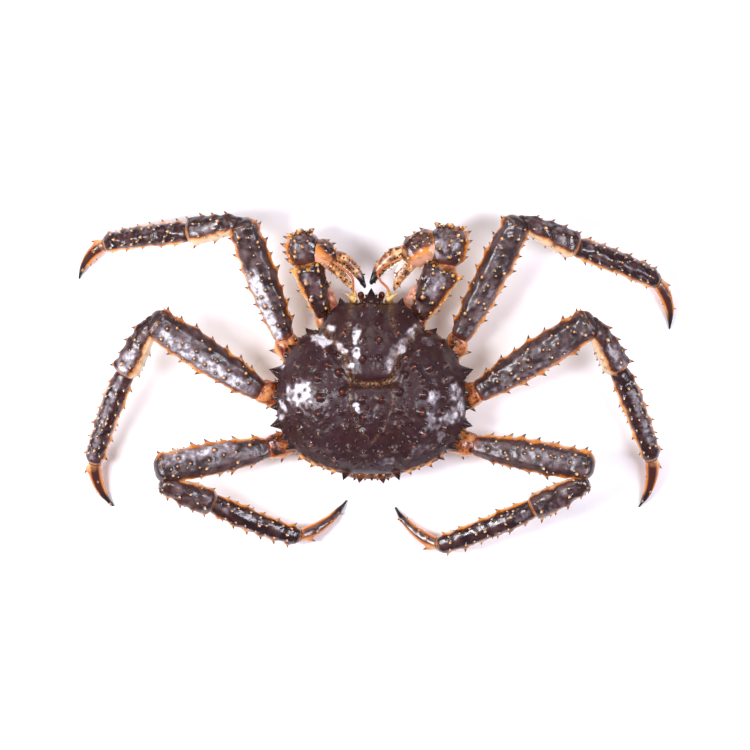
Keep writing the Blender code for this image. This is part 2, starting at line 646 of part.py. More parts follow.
def main():
    clear_scene()
    shell = make_material("shell", SHELL_COLOUR, 0.35)
    joint = make_material("joint_shell", JOINT_COLOUR, 0.40)
    belly = make_material("belly_shell", BELLY_COLOUR, 0.45)
    claw = make_material("claw_shell", CLAW_COLOUR, 0.40)
    horn = make_material("horn", HORN_COLOUR, 0.35)
    eye = make_material("eye", EYE_COLOUR, 0.10)
    unit_spine = spine_mesh()
    rng = random.Random(7)

    back, margin, rostrum = carapace_spines(rng)
    carapace = carapace_shell("carapace", shell)
    add_spines(carapace, unit_spine, margin, 0.42)
    add_spines(carapace, unit_spine, back, TUBERCLE_RADIUS / TUBERCLE_HEIGHT)
    add_spines(carapace, unit_spine, rostrum, 0.45)
    sternum = sternum_shell("sternum", belly)
    plate("abdomen", ABDOMEN_FLAP, belly)
    abdomen_base = plate("abdomen_base", ABDOMEN_BASE, shell)
    add_spines(abdomen_base, unit_spine, abdomen_spines(), 0.45)

    for name in LEG_POSES:
        segments = leg_segments(name)
        cores = {kind: segment.shell(f"{name}_{kind}", shell) for kind, segment in segments.items()}
        cores["coxa"].data.materials[0] = joint
        cores["dactyl"].data.materials[0] = horn
        clearances = {kind: grown_copy(core) for kind, core in cores.items()}
        order = list(segments)
        for i, kind in enumerate(order):
            neighbours = [segments[k] for k in order[max(i - 1, 0): i + 2] if k != kind]
            add_spines(cores[kind], unit_spine, segments[kind].spines(rng, neighbours))
            if i:
                boolean(cores[kind], "DIFFERENCE", [clearances[order[i - 1]]])
        boolean(cores["coxa"], "DIFFERENCE", [grown_copy(sternum)])
        bpy.data.objects.remove(clearances["dactyl"], do_unlink=True)

    for name in CLAWS:
        segments = claw_segments(name)
        cores = {piece: segment.shell(f"{name}_{piece}", claw) for piece, segment in segments.items()}
        cores["coxa"].data.materials[0] = joint
        boolean(cores["palm"], "UNION", [cores.pop("thumb")])
        clearances = {piece: grown_copy(core) for piece, core in cores.items()}
        for piece, core in cores.items():
            neighbours = [segments[k] for k in segments if k != piece]
            add_spines(core, unit_spine, segments[piece].spines(rng, neighbours))
        boolean(cores["coxa"], "DIFFERENCE", [grown_copy(sternum)])
        for cut, by in CLAW_CUTS:
            boolean(cores[cut], "DIFFERENCE", [copy_of(clearances[by])])
        for clearance in clearances.values():
            bpy.data.objects.remove(clearance, do_unlink=True)

    for name, route in ANTENNAE.items():
        feeler = curve_through(route, 15)
        radii = (*ANTENNA_ROOT, *(ANTENNA_WHIP for _ in feeler[len(ANTENNA_ROOT):]))
        tube(name, feeler, radii, 6, horn)
    for side, sign in (("right", 1), ("left", -1)):
        stalk = [Vector((sign * x, y, z)) for x, y, z in EYE_STALK]
        tube(f"eye_{side}", stalk, EYE_RADII, 8, eye)
        jaw = curve_through([(sign * x, y, z) for x, y, z in JAW], 6)
        tube(f"mouthpart_{side}", jaw, JAW_RADII, 8, joint)


main()
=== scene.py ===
"""Looks of a whole raw king crab: every shell piece again at fine scale, wet, on a white floor.

The pieces are built in millimetres from the same dimensions as the solids that they stand for, and turned to
metres where a mesh is made. +Y is towards the rostrum, +X towards the crab's own right, +Z up.
"""

import math
import random

import bmesh
import bpy
import numpy as np
from mathutils import Matrix, Vector, noise
from mathutils.geometry import delaunay_2d_cdt


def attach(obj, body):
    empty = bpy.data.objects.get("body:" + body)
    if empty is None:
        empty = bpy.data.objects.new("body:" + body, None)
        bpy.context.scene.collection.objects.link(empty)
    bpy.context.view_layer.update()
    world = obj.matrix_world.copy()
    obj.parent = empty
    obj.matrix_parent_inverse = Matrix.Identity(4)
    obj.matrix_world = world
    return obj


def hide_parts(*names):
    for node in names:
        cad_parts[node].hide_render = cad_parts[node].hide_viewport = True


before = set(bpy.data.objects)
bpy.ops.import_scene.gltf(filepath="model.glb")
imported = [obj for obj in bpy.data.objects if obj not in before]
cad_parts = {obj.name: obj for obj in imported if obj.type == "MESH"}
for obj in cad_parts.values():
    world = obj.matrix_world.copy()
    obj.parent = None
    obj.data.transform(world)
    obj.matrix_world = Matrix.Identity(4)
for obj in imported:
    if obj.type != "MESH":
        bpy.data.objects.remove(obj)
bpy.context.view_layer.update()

MM = 0.001

# Body, in millimetres.
CARAPACE_TOP = 81.0
RIM_HEIGHT = 44.0
CARAPACE_FLOOR = 37.0
STERNUM_TOP = 36.6
STERNUM_FLOOR = 7.0
STERNUM_SHARE_SIDES = 0.77
STERNUM_SHARE_FRONT = 0.62
STERNUM_SHARE_BACK = 0.82
ROSTRUM_LENGTH = 19.0
# The abdomen's plates: the outer skin in the median plane (y, z), the inner skin's offset, the half width.
ABDOMEN_BASE = (
    (-72.0, 41.0, 8.0, -4.0, 13.0), (-79.0, 35.0, 14.5, 0.0, 18.0), (-80.5, 24.0, 16.5, 0.0, 24.0),
    (-78.0, 13.2, 15.5, 0.0, 29.0),
)
ABDOMEN_FLAP = (
    (-77.5, 12.4, 7.0, 0.0, 29.0), (-74.0, 4.5, 4.0, 5.0, 33.0), (-65.0, 0.0, 0.5, 6.3, 37.0),
    (-37.0, 0.0, 0.0, 6.3, 42.0), (-8.0, 0.0, 0.0, 6.3, 41.0), (22.0, 0.0, 0.0, 6.3, 30.0),
    (38.0, 1.2, 0.0, 5.0, 12.0),
)
JOINT_GAP = 0.45

# The carapace's right half seen from above, from the middle of the front to the middle of the back.
OUTLINE = (
    (0.0, 85.0), (5.0, 83.0), (12.0, 77.0), (19.0, 77.5), (27.0, 79.5), (36.0, 70.0), (42.5, 62.0),
    (44.5, 54.0), (56.0, 51.5), (67.0, 42.5), (77.0, 28.5), (83.0, 12.0), (84.5, -6.0), (84.5, -22.0),
    (80.5, -36.0), (71.5, -50.5), (59.0, -61.0), (40.0, -69.5), (19.0, -74.0), (0.0, -75.0),
)
# Spines on the carapace's margin: bearing from the middle of the body, 90 being forwards, and length.
MARGIN_SPINES = (
    (71, 5.5), (57, 3.5), (43, 6.0), (28, 5.0), (11, 10.0), (-1, 3.5), (-10, 6.0), (-20, 8.5), (-29, 5.0),
    (-35, 6.5), (-44, 6.5), (-52, 6.5), (-59, 4.0), (-65, 6.0), (-73, 8.0),
)
# Bearings of small spines between them, which the solid leaves out.
SMALL_MARGIN_BEARINGS = (-45, -31, -21, -3, 7, 20, 34, 48, 61)
# Tubercles on the back: how far back each pair beside the middle line is, and the places on the right lobes.
PAIR_PLACES = (68.0, 56.0, 43.0, 27.5, -7.0, -22.5, -36.5, -56.0)
PAIR_HALF_GAP = 7.5
LOBE_TUBERCLES = (
    (24.5, 49.5), (61.0, 38.0), (41.0, 34.0), (29.5, 29.5), (38.0, 20.5), (51.5, 20.5), (65.0, 23.0),
    (28.5, 14.5), (46.5, 9.5), (66.5, 11.0), (24.5, -1.5), (45.0, -5.0), (62.5, -4.5), (75.5, -2.5),
    (24.0, -17.5), (45.0, -20.0), (63.5, -19.5), (76.0, -21.5), (23.0, -31.5), (45.0, -38.0), (62.5, -33.5),
    (20.5, -51.5), (36.5, -50.5), (54.0, -49.5), (31.5, -60.0),
)
# How far a tubercle strays from its place, its height and its foot's radius.
TUBERCLE_STRAY = 1.5
TUBERCLE_HEIGHT = 4.2
TUBERCLE_RADIUS = 2.6
# Radius and height of the mound that a tubercle stands on, and how many small grains lie between the mounds:
# sharp ones and round ones.
TUBERCLE_MOUND = (5.0, 2.0)
GRANULES = 150
GRAINS = 360
OUTLINE_SAMPLES = 56
# The skin under the carapace's margin, going inwards: share of the outline's radius, and height.
UNDER_MARGIN = (
    (0.994, 43.0), (0.985, 42.0), (0.965, 41.2), (0.93, 40.4), (0.86, 39.2), (0.78, 38.0), (0.64, 37.0),
    (0.4, 37.0), (0.15, 37.0),
)
# Bearings of the breast's seams, between the limbs' roots.
BREAST_SEAMS = (52, 28, 2, -22, -50)
# Creases between the carapace's regions, in its right half: half width, depth, how tan it is, and its points.
# They are the neck groove, the groove across the middle, the heart's edge and the stomach's edge.
CREASES = (
    (3.2, 0.9, 0.75, ((41.0, 56.0), (33.9, 44.4), (25.5, 35.0), (21.1, 24.1), (18.2, 9.4))),
    (2.0, 1.3, 1.0, ((0.0, 5.0), (9.0, 6.0), (18.2, 9.4))),
    (1.2, 0.5, 0.42, ((18.2, 9.4), (19.5, -8.5), (15.5, -21.0), (10.5, -33.8), (2.0, -44.5), (0.0, -47.0))),
    (2.8, 0.3, 0.5, ((17.4, 75.0), (19.0, 62.0), (22.0, 52.0))),
)

# Walking legs and claws, as in the solids.
MERUS_HALF_WIDTH = {1: 13.4, 2: 14.8, 3: 13.8}
LEG_POSES = {
    "leg_right_1": ((67.5, 25.3), (25, 120.5, 53.7, 87.3, 49.3), (61, 63.4, -23.7, -20.8, -72.2),
                    (20, 28, 58, 50, 18, 1.2), 2.0),
    "leg_right_2": ((67.5, -9.1), (29.5, 122.8, 47.8, 91.9, 50.4), (13, 32.1, -60.1, -67.3, -101.5),
                    (20, 28, 58, 50, 18, 1.2), 1.0),
    "leg_right_3": ((62.1, -43.5), (31.2, 108.5, 54.4, 94.4, 54.7), (-11.7, -10.1, -152.7, -157.1, -219.6),
                    (20, 28, 54, 40, 16, 1.2), 13.0),
    "leg_left_1": ((-67.2, 25.3), (24.6, 115.1, 46.1, 85.9, 46.3), (117, 110, 188.9, 185.7, 228.5),
                   (20, 28, 66, 57, 20, 1.2), 2.0),
    "leg_left_2": ((-67.2, -9.1), (34.0, 119.9, 51.6, 93.8, 49.3), (166.5, 146.3, 241.5, 247.8, 290),
                   (20, 28, 68, 58, 20, 1.2), 1.0),
    "leg_left_3": ((-61.8, -43.5), (31.7, 104.5, 50.5, 86.6, 57.4), (196, 190.6, 337, 337.1, 395.7),
                   (20, 28, 60, 42, 17, 1.2), 12.0),
}
COXA_INSET = 15.0
DACTYL_BOW = 5.0
PROPODUS_BOW = 1.5
FINGER_BOWS = {"finger": -4.0, "thumb": -2.5}
CLAWS = {
    "claw_right": {
        "coxa": ((29.5, 45.0, 20.0), 56, 27.0, 9.5, 8.5, 28.0),
        "merus": ((42.5, 65.0, 29.5), 63.5, 52.0, 16.5, 12.5, 42.0),
        "carpus": ((66.0, 112.0, 42.0), 82, 36.0, 17.0, 14.0, 44.0),
        "palm": ((61.0, 134.0, 45.0), 205, 36.0, 14.0, 12.0, 42.0),
        "thumb": ((39.0, 117.0, 40.0), 236, 34.0, 6.0, 5.5, 33.0),
        "finger": ((30.0, 125.0, 43.0), 224, 44.0, 7.2, 6.5, 34.0),
    },
    "claw_left": {
        "coxa": ((-30.0, 45.0, 20.0), 121, 28.0, 9.0, 8.2, 28.0),
        "merus": ((-43.0, 66.0, 29.5), 106.5, 50.0, 13.8, 11.5, 42.0),
        "carpus": ((-57.0, 112.0, 42.0), 102, 31.0, 14.0, 12.5, 44.0),
        "palm": ((-54.0, 130.0, 45.0), 319, 28.0, 11.0, 10.0, 41.0),
        "thumb": ((-38.5, 113.0, 40.0), 313, 33.0, 4.8, 4.8, 33.0),
        "finger": ((-33.3, 121.9, 42.2), 313, 42.0, 5.7, 5.5, 34.0),
    },
}
CLAW_CUTS = (
    ("merus", "coxa"), ("carpus", "merus"), ("palm", "carpus"), ("palm", "merus"), ("finger", "palm"),
)
ANTENNAE = {
    "antenna_right": ((16.0, 77.0, 33.0), (16.0, 84.0, 38.0), (14.5, 91.0, 45.5), (8.0, 98.0, 47.0),
                      (6.0, 105.0, 47.0), (12.0, 110.5, 47.8), (20.0, 114.5, 50.5), (28.0, 118.0, 53.5)),
    "antenna_left": ((-16.0, 77.0, 33.0), (-16.0, 84.0, 38.0), (-16.3, 90.0, 45.5), (-16.3, 97.0, 49.0),
                     (-18.0, 102.0, 50.0), (-25.0, 108.0, 51.0), (-34.0, 114.0, 52.5), (-42.0, 117.5, 56.0)),
}
ANTENNA_RADII = (4.3, 4.0, 2.6, 1.6, *(1.1,) * 11)
WHIP_RING = 1.5
EYE_STALK = ((8.0, 79.5, 36.0), (9.8, 87.5, 42.5))
EYE_RADII = (2.8, 3.4)
EYE_FINENESS = 0.88
JAW = ((10.0, 52.0, 18.0), (11.0, 61.0, 15.0), (9.5, 70.0, 18.0), (7.0, 77.0, 27.0))
JAW_RADII = (4.5, 6.0, 6.2, 5.6, 4.6, 2.8)

# Each kind of segment: half width and half depth along it as shares of the largest, how far it reaches past
# its outer joint as a share of its length, its rows of spines as (angle round it, 0 at its leading edge and
# 90 on top; how many; length; first and last place along it), its rows of short spines as (angle, how many),
# how many small spines and granules are strewn over it, and how its pale side is laid: the share of pallor
# towards the leading edge, and all round.
FORMS = {
    "coxa": {
        "width": (0.85, 0.95, 1.0, 1.0), "depth": (0.85, 0.95, 1.0, 1.0), "reach": 0.12,
        "spines": ((180, 1, 6.0, 0.8, 0.8), (0, 1, 4.0, 0.75, 0.75)),
        "small": 7, "granules": 40, "pale": (-0.25, 0.1),
    },
    "claw_coxa": {
        "width": (0.85, 0.95, 1.0, 1.0), "depth": (0.85, 0.95, 1.0, 1.0), "reach": 0.12,
        "spines": (),
        "small": 3, "granules": 30, "pale": (-0.25, 0.1),
    },
    "merus": {
        "width": (0.66, 0.88, 1.0, 1.0, 0.90), "depth": (0.72, 0.92, 1.0, 1.0, 0.95), "reach": 0.03,
        "spines": ((8, 7, 5.0, 0.14, 0.95), (172, 6, 4.4, 0.2, 0.92), (62, 3, 3.4, 0.2, 0.85),
                   (118, 3, 3.4, 0.32, 0.90)),
        "dots": ((88, 6),), "small": 32, "granules": 90, "pale": (-0.07, 0.36),
    },
    "carpus": {
        "width": (0.66, 0.84, 1.0, 1.0), "depth": (0.72, 0.88, 1.0, 1.0), "reach": 0.07,
        "spines": ((12, 4, 4.4, 0.2, 0.95), (72, 2, 3.4, 0.35, 0.85), (165, 2, 3.6, 0.5, 0.9)),
        "small": 14, "granules": 45, "pale": (-0.46, 0.50),
    },
    "propodus": {
        "width": (0.86, 1.0, 0.96, 0.92, 0.82), "depth": (0.86, 1.0, 0.96, 0.92, 0.86), "reach": 0.04,
        "spines": ((6, 6, 3.8, 0.12, 0.94), (174, 5, 3.4, 0.16, 0.92), (90, 3, 3.0, 0.2, 0.85)),
        "dots": ((52, 7), (122, 7)), "small": 24, "granules": 60, "pale": (-0.05, 0.37),
    },
    "dactyl": {
        "width": (1.0, 0.90, 0.72, 0.48, 0.12), "depth": (1.0, 0.92, 0.76, 0.50, 0.14), "reach": 0.0,
        "spines": ((5, 1, 4.0, 0.14, 0.14),),
        "small": 4, "granules": 0, "pale": (-0.3, 0.0),
    },
    "claw_merus": {
        "width": (0.50, 0.72, 0.92, 1.0), "depth": (0.70, 0.88, 1.0, 1.0), "reach": 0.08,
        "spines": ((175, 3, 4.5, 0.25, 0.9), (5, 2, 4.5, 0.55, 0.92), (70, 2, 4.0, 0.4, 0.85),
                   (115, 2, 4.0, 0.4, 0.7)),
        "small": 12, "granules": 50, "pale": (-0.24, 0.28),
    },
    "claw_carpus": {
        "width": (0.78, 0.98, 1.0, 0.66), "depth": (0.8, 1.0, 1.0, 0.7), "reach": 0.0,
        "spines": ((172, 4, 5.5, 0.2, 0.85), (8, 2, 4.5, 0.7, 0.95), (60, 1, 4.0, 0.5, 0.5),
                   (120, 2, 4.5, 0.3, 0.75), (90, 1, 5.5, 0.97, 0.97)),
        "small": 38, "granules": 70, "pale": (-0.18, 0.26),
    },
    "palm": {
        "width": (0.80, 1.0, 0.98, 0.72), "depth": (0.84, 1.0, 0.96, 0.72), "reach": 0.0,
        "spines": ((176, 4, 4.5, 0.25, 0.92), (135, 2, 3.8, 0.3, 0.85), (75, 1, 4.5, 0.85, 0.85)),
        "small": 34, "granules": 60, "pale": (1.4, 0.72),
    },
    "finger": {
        "width": (0.95, 1.0, 0.86, 0.62, 0.22), "depth": (0.95, 1.0, 0.88, 0.66, 0.24), "reach": 0.0,
        "spines": ((150, 2, 2.4, 0.2, 0.55),),
        "small": 5, "granules": 30, "pale": (-1.0, 0.0),
    },
}
# Painted sheen on top of the limbs, whitish patches standing for the lamps' broad reflections: from where to
# where along a piece, from where to where across it (1 being its leading edge), and how strong it is.
LIMB_PAINTED_SHEEN = {
    "leg_left_1_merus": (-0.05, 0.66, -1.0, 0.0, 0.92), "leg_left_1_carpus": (0.55, 0.95, -0.4, 0.4, 0.6),
    "leg_left_1_propodus": (0.1, 0.8, 0.1, 0.9, 0.4),
    "leg_left_2_merus": (0.06, 0.96, -0.9, 0.1, 0.82), "leg_left_2_carpus": (0.6, 1.05, -0.3, 0.8, 0.8),
    "leg_left_2_propodus": (-0.05, 0.98, -0.2, 0.6, 0.7),
    "leg_left_3_merus": (0.3, 0.98, 0.1, 1.0, 0.72), "leg_left_3_carpus": (0.2, 0.8, 0.0, 0.8, 0.3),
    "leg_left_3_propodus": (-0.05, 0.2, -0.4, 0.4, 0.5),
    "leg_right_1_merus": (-0.05, 0.5, -1.0, -0.2, 0.5), "leg_right_1_carpus": (0.3, 0.9, 0.5, 1.0, 0.5),
    "leg_right_1_propodus": (0.0, 0.3, -0.1, 0.7, 0.42),
    "leg_right_2_merus": (0.04, 0.8, -1.0, -0.3, 0.52), "leg_right_2_carpus": (0.5, 1.0, -0.2, 0.8, 0.6),
    "leg_right_2_propodus": (0.2, 0.85, -0.2, 0.7, 0.62),
    "leg_right_3_merus": (0.4, 0.95, -0.2, 0.6, 0.55), "leg_right_3_carpus": (0.3, 0.9, 0.0, 0.8, 0.4),
    "leg_right_3_propodus": (-0.05, 0.25, -0.3, 0.7, 0.55),
    "claw_right_merus": (0.45, 0.92, -0.5, 0.5, 0.6), "claw_right_carpus": (0.1, 0.9, -0.1, 0.9, 0.45),
    "claw_left_merus": (0.65, 0.95, -0.6, 0.0, 0.65), "claw_left_carpus": (0.2, 0.9, -0.8, 0.1, 0.5),
}
NO_PAINTED_SHEEN = (0.0, 1.0, 0.0, 1.0, 0.0)
# Painted highlights on the carapace, whitish patches standing for the lamps' reflections: middle, half
# length, half width, heading of its length, strength.
PAINTED_BACK_HIGHLIGHTS = (
    (-62.8, -3.2, 13.0, 11.5, 0, 1.0),
    (-13.6, -12.4, 3.6, 2.6, 15, 0.95), (-12.0, -17.2, 3.6, 2.4, 100, 0.95),
    (-13.0, 48.5, 10.0, 3.8, 80, 1.0), (-13.0, 33.5, 6.0, 3.8, 95, 1.0), (-44.0, 44.0, 11.0, 5.2, -25, 1.0),
    (-35.4, 54.9, 4.4, 3.8, 0, 1.0), (-26.0, 37.0, 8.0, 3.2, -50, 0.95), (-18.0, 21.4, 4.0, 3.0, 60, 1.0),
    (-78.5, -13.5, 6.5, 3.2, -70, 0.95), (-80.0, -24.0, 4.0, 3.0, 0, 0.9), (-80.0, 21.0, 4.0, 2.6, -30, 0.9),
    (26.0, 39.0, 20.0, 5.4, 52, 0.74), (16.5, 24.0, 9.0, 4.8, 70, 0.72), (36.0, 52.5, 7.5, 3.0, 60, 0.95),
    (27.0, 36.5, 6.0, 3.8, 60, 1.0), (50.0, 43.0, 8.0, 4.0, -30, 0.5), (74.0, -2.0, 10.0, 6.5, 90, 0.8),
    (80.0, -15.0, 10.0, 5.0, 90, 0.85), (70.0, -24.0, 12.0, 7.0, 35, 0.82), (54.0, -7.0, 7.0, 5.0, 60, 0.78),
    (54.0, -28.0, 10.0, 5.0, -70, 0.72), (61.0, -41.0, 6.0, 4.0, 60, 0.7), (68.0, 10.0, 4.6, 3.4, 0, 0.7),
    (15.2, -63.0, 8.0, 3.5, 10, 0.55), (44.0, -52.0, 11.0, 5.0, 25, 0.48),
    (-52.0, -50.0, 11.0, 5.0, -30, 0.4), (-20.0, 58.0, 3.0, 2.6, 0, 0.9),
)
# A limb's spines: how far they lean outwards along it, in degrees, and the radius of their feet as a share of
# their length, for dark and golden spines and for pale ones.
SPINE_LEAN = 28.0
SPINE_SLENDERNESS = 0.36
PALE_SPINE_SLENDERNESS = 0.50
# Length of the rows' spines as a share of the length that the row gives: dark ones and pale ones.
SPINE_SHARE = 1.22
PALE_SPINE_SHARE = 1.05
# How round a limb's section is: 1 is an oval, and less is squarer.
ROUNDNESS = 0.84
# The hooks round the outer rim of a claw's merus and carpus: their angles, and the length of the largest.
RIM_HOOK_TURNS = (-10, 22, 58, 95, 130, 165, 192)
RIM_HOOKS = {"merus": 6.2, "carpus": 4.6}
# The spines round a leg's knee: length, angles on the thigh's rim, places on the corner of a folded knee.
KNEE_SPINE_LENGTH = 3.2
KNEE_RIM_TURNS = (12, 48, 84, 128, 160)
KNEE_CORNER = ((0.03, 58), (0.05, 18), (0.14, -8), (0.09, 100))
# The balls of soft skin in the joints: half length, share of the segment's width, and depth of their folds.
JOINT_BALL_LENGTH = 5.5
JOINT_BALL_SHARE = 0.8
JOINT_FOLDS = 0.035
# How far the soft skin of a folded knee is set back into its knee piece.
TUCKED_SKIN = 5.0
# The largest molar's radius on either claw, and the angles of the edges that they stand on.
MOLAR_RADII = {"claw_right": 4.2, "claw_left": 2.2}
MOLAR_EDGES = (("finger", 8.0), ("thumb", 172.0))

# Fine build, in millimetres.
SKIN_STEP = 1.15
BACK_STEP = 0.85
END_ROUNDING = 5.0
CAP_ROUNDING = 8.0
LIP_ROUNDING = 1.3
MARGIN_POINTS = 420
# The flattest fold between two faces that is drawn as an edge, in degrees.
SHARP_EDGE = 62
SPINE_BEND = 0.16
# A spine's outline, foot to tip: height and radius as shares. Its foot flares under the skin.
SPINE_PROFILE = (
    (-0.30, 1.60), (-0.04, 1.30), (0.08, 1.06), (0.24, 0.86), (0.48, 0.58), (0.74, 0.29), (0.92, 0.09),
)
SPINE_SIDES = 9
# Height of the ridge under a row of spines, and of the boss at a spine's foot for each 4 mm of the spine.
RIDGE_HEIGHT = 0.45
BOSS_HEIGHT = 1.2
FORWARDS = Vector((0, 1, 0))
UPWARDS = Vector((0, 0, 1))

# The photograph's camera, in metres.
CAMERA_PLACE = (0.00333, 0.0135, 2.2)
CAMERA_LENS = 115.73


def linear(hex_colour):
    """An sRGB hex colour as a linear one with alpha."""
    parts = [int(hex_colour[i:i + 2], 16) / 255 for i in (1, 3, 5)]
    return (*(((c + 0.055) / 1.055) ** 2.4 if c > 0.04045 else c / 12.92 for c in parts), 1.0)


def smooth_step(low, high, x):
    """A smooth rise from 0 at low to 1 at high, or a fall where high is the lower of the two."""
    t = np.clip((x - low) / (high - low), 0.0, 1.0)
    return t * t * (3 - 2 * t)


def along(knots, t):
    """A smooth curve through evenly spaced values, read at places t from 0 to 1."""
    knots = np.asarray(knots, float)
    last = len(knots) - 1
    x = np.clip(np.asarray(t, float), 0.0, 1.0) * last
    i = np.minimum(x.astype(int), last - 1)
    f = (x - i).reshape(x.shape + (1,) * (knots.ndim - 1))
    before, here = knots[np.maximum(i - 1, 0)], knots[i]
    after, beyond = knots[i + 1], knots[np.minimum(i + 2, last)]
    return 0.5 * (
        2 * here
        + (after - before) * f
        + (2 * before - 5 * here + 4 * after - beyond) * f**2
        + (3 * here - before - 3 * after + beyond) * f**3
    )


def rough(points, size, seed=0.0):
    """Smooth noise from -1 to 1 at each point, with lumps of about a size in millimetres."""
    shift = Vector((seed, seed * 1.7, -seed))
    return np.array([noise.noise(Vector(p) / size + shift) for p in np.reshape(points, (-1, 3))])


def rounded_end(distance, rounding, least):
    """A tube's share of its full radius at distances from its end: least there, and 1 past the rounding."""
    return least + (1 - least) * np.sqrt(1 - (1 - np.clip(distance / rounding, 0, 1)) ** 2)


def pinched(t, joints, depth, width):
    """A tube's share of its full radius at places t, less by a depth at its joints."""
    return np.prod([1 - depth * np.exp(-((t - joint) / width) ** 2) for joint in joints], axis=0)


def distance_along(line):
    """How far along a line of points each one lies."""
    return np.concatenate([[0], np.cumsum(np.linalg.norm(np.diff(line, axis=0), axis=1))])


def link_mesh(name, points, faces):
    """A mesh object from points in millimetres, with its faces turned outwards."""
    mesh = bpy.data.meshes.new(name)
    mesh.from_pydata((np.asarray(points) * MM).tolist(), [], faces)
    bm = bmesh.new()
    bm.from_mesh(mesh)
    bmesh.ops.recalc_face_normals(bm, faces=bm.faces)
    bm.to_mesh(mesh)
    bm.free()
    item = bpy.data.objects.new(name, mesh)
    bpy.context.scene.collection.objects.link(item)
    return item


def lofted(name, rings):
    """A closed skin over rings of equal counts, with a point in the middle of either end."""
    rings = np.asarray(rings)
    count, sides = rings.shape[:2]
    points = np.concatenate([rings.reshape(-1, 3), rings[[0, -1]].mean(axis=1)])
    i, j = np.meshgrid(np.arange(count - 1), np.arange(sides), indexing="ij")
    k = (j + 1) % sides
    quads = np.stack([i * sides + j, i * sides + k, (i + 1) * sides + k, (i + 1) * sides + j], axis=-1)
    faces = quads.reshape(-1, 4).tolist()
    last = (count - 1) * sides
    for s in range(sides):
        faces.append(((s + 1) % sides, s, count * sides))
        faces.append((last + s, last + (s + 1) % sides, count * sides + 1))
    return link_mesh(name, points, faces)


def mesh_points(item):
    """An object's vertices in millimetres."""
    flat = np.zeros(len(item.data.vertices) * 3, np.float32)
    item.data.vertices.foreach_get("co", flat)
    return flat.reshape(-1, 3).astype(float) / MM


def store(item, name, *columns):
    """Keeps up to three numbers a vertex on the mesh, for the materials to read."""
    values = np.zeros((len(item.data.vertices), 3), np.float32)
    for i, column in enumerate(columns):
        values[:, i] = column
    layer = item.data.attributes.new(name, "FLOAT_VECTOR", "POINT")
    layer.data.foreach_set("vector", values.ravel())


def boolean(item, operation, others):
    """Joins the other objects to item, or cuts them from it, and removes them."""
    if not others:
        return
    group = bpy.data.collections.new("operands")
    bpy.context.scene.collection.children.link(group)
    for other in others:
        for home in list(other.users_collection):
            home.objects.unlink(other)
        group.objects.link(other)
    modifier = item.modifiers.new(operation, "BOOLEAN")
    modifier.operand_type = "COLLECTION"
    modifier.collection = group
    modifier.operation = operation
    modifier.solver = "MANIFOLD"
    bpy.context.view_layer.update()
    result = bpy.data.meshes.new_from_object(item.evaluated_get(bpy.context.evaluated_depsgraph_get()))
    item.modifiers.clear()
    item.data = result
    for other in others:
        bpy.data.objects.remove(other, do_unlink=True)
    bpy.data.collections.remove(group)


def keep_largest(item):
    """Drops crumbs that a cut has left apart from the main body."""
    bm = bmesh.new()
    bm.from_mesh(item.data)
    unseen = set(bm.verts)
    bodies = []
    while unseen:
        front = [unseen.pop()]
        body = list(front)
        while front:
            here = front.pop()
            for edge in here.link_edges:
                there = edge.other_vert(here)
                if there in unseen:
                    unseen.remove(there)
                    front.append(there)
                    body.append(there)
        bodies.append(body)
    bodies.sort(key=len)
    for body in bodies[:-1]:
        bmesh.ops.delete(bm, geom=body, context="VERTS")
    bm.to_mesh(item.data)
    bm.free()


def copy_of(item, grow=0.0):
    """A copy of an object, its skin pushed out by some millimetres."""
    copy = bpy.data.objects.new(item.name + "_copy", item.data.copy())
    bpy.context.scene.collection.objects.link(copy)
    if grow:
        normals = [vertex.normal.copy() for vertex in copy.data.vertices]
        for vertex, normal in zip(copy.data.vertices, normals):
            vertex.co += normal * (grow * MM)
    return copy


def spine_mesh():
    """A unit spine: its foot at 0, its sharp tip at 1 along +Z, bent a little towards +X."""
    turns = np.arange(SPINE_SIDES) * math.tau / SPINE_SIDES
    points = []
    for height, radius in SPINE_PROFILE:
        bend = SPINE_BEND * max(height, 0.0) ** 2
        points += [(radius * math.cos(a) + bend, radius * math.sin(a), height) for a in turns]
    points += [(SPINE_BEND, 0.0, 1.0), (0.0, 0.0, SPINE_PROFILE[0][0])]
    rings = len(SPINE_PROFILE)
    faces = []
    for ring in range(rings - 1):
        for s in range(SPINE_SIDES):
            here, there = ring * SPINE_SIDES, (ring + 1) * SPINE_SIDES
            n = (s + 1) % SPINE_SIDES
            faces.append((here + s, here + n, there + n, there + s))
    last = (rings - 1) * SPINE_SIDES
    for s in range(SPINE_SIDES):
        n = (s + 1) % SPINE_SIDES
        faces.append((last + s, last + n, rings * SPINE_SIDES))
        faces.append((n, s, rings * SPINE_SIDES + 1))
    mesh = bpy.data.meshes.new("spine")
    mesh.from_pydata(points, [], faces)
    return mesh


UNIT_SPINE = spine_mesh()


class Spine:
    """One spine: its foot on the skin, its direction, the way it bends, its length and its foot's radius.

    Tone is 0 for a pale tip, 1 for a black one and -1 for a golden one. Flat is its thickness as a share of
    its width.
    """

    def __init__(self, root, way, bend, length, radius, tone, flat=1.0):
        self.root, self.way, self.length, self.radius, self.tone = Vector(root), way, length, radius, tone
        self.flat = flat
        self.across = (bend - way * bend.dot(way)).normalized()

    def body(self):
        """The spine as an object, to be fused."""
        item = bpy.data.objects.new("spine", UNIT_SPINE)
        other = self.way.cross(self.across)
        axes = (self.across * self.radius * self.flat, other * self.radius, self.way * self.length)
        rows = [[axes[c][r] * MM for c in range(3)] + [self.root[r] * MM] for r in range(3)]
        item.matrix_world = Matrix([*rows, [0, 0, 0, 1]])
        bpy.context.scene.collection.objects.link(item)
        return item


def grow_spines(item, spines):
    """Fuses spines with a piece's skin."""
    boolean(item, "UNION", [spine.body() for spine in spines])


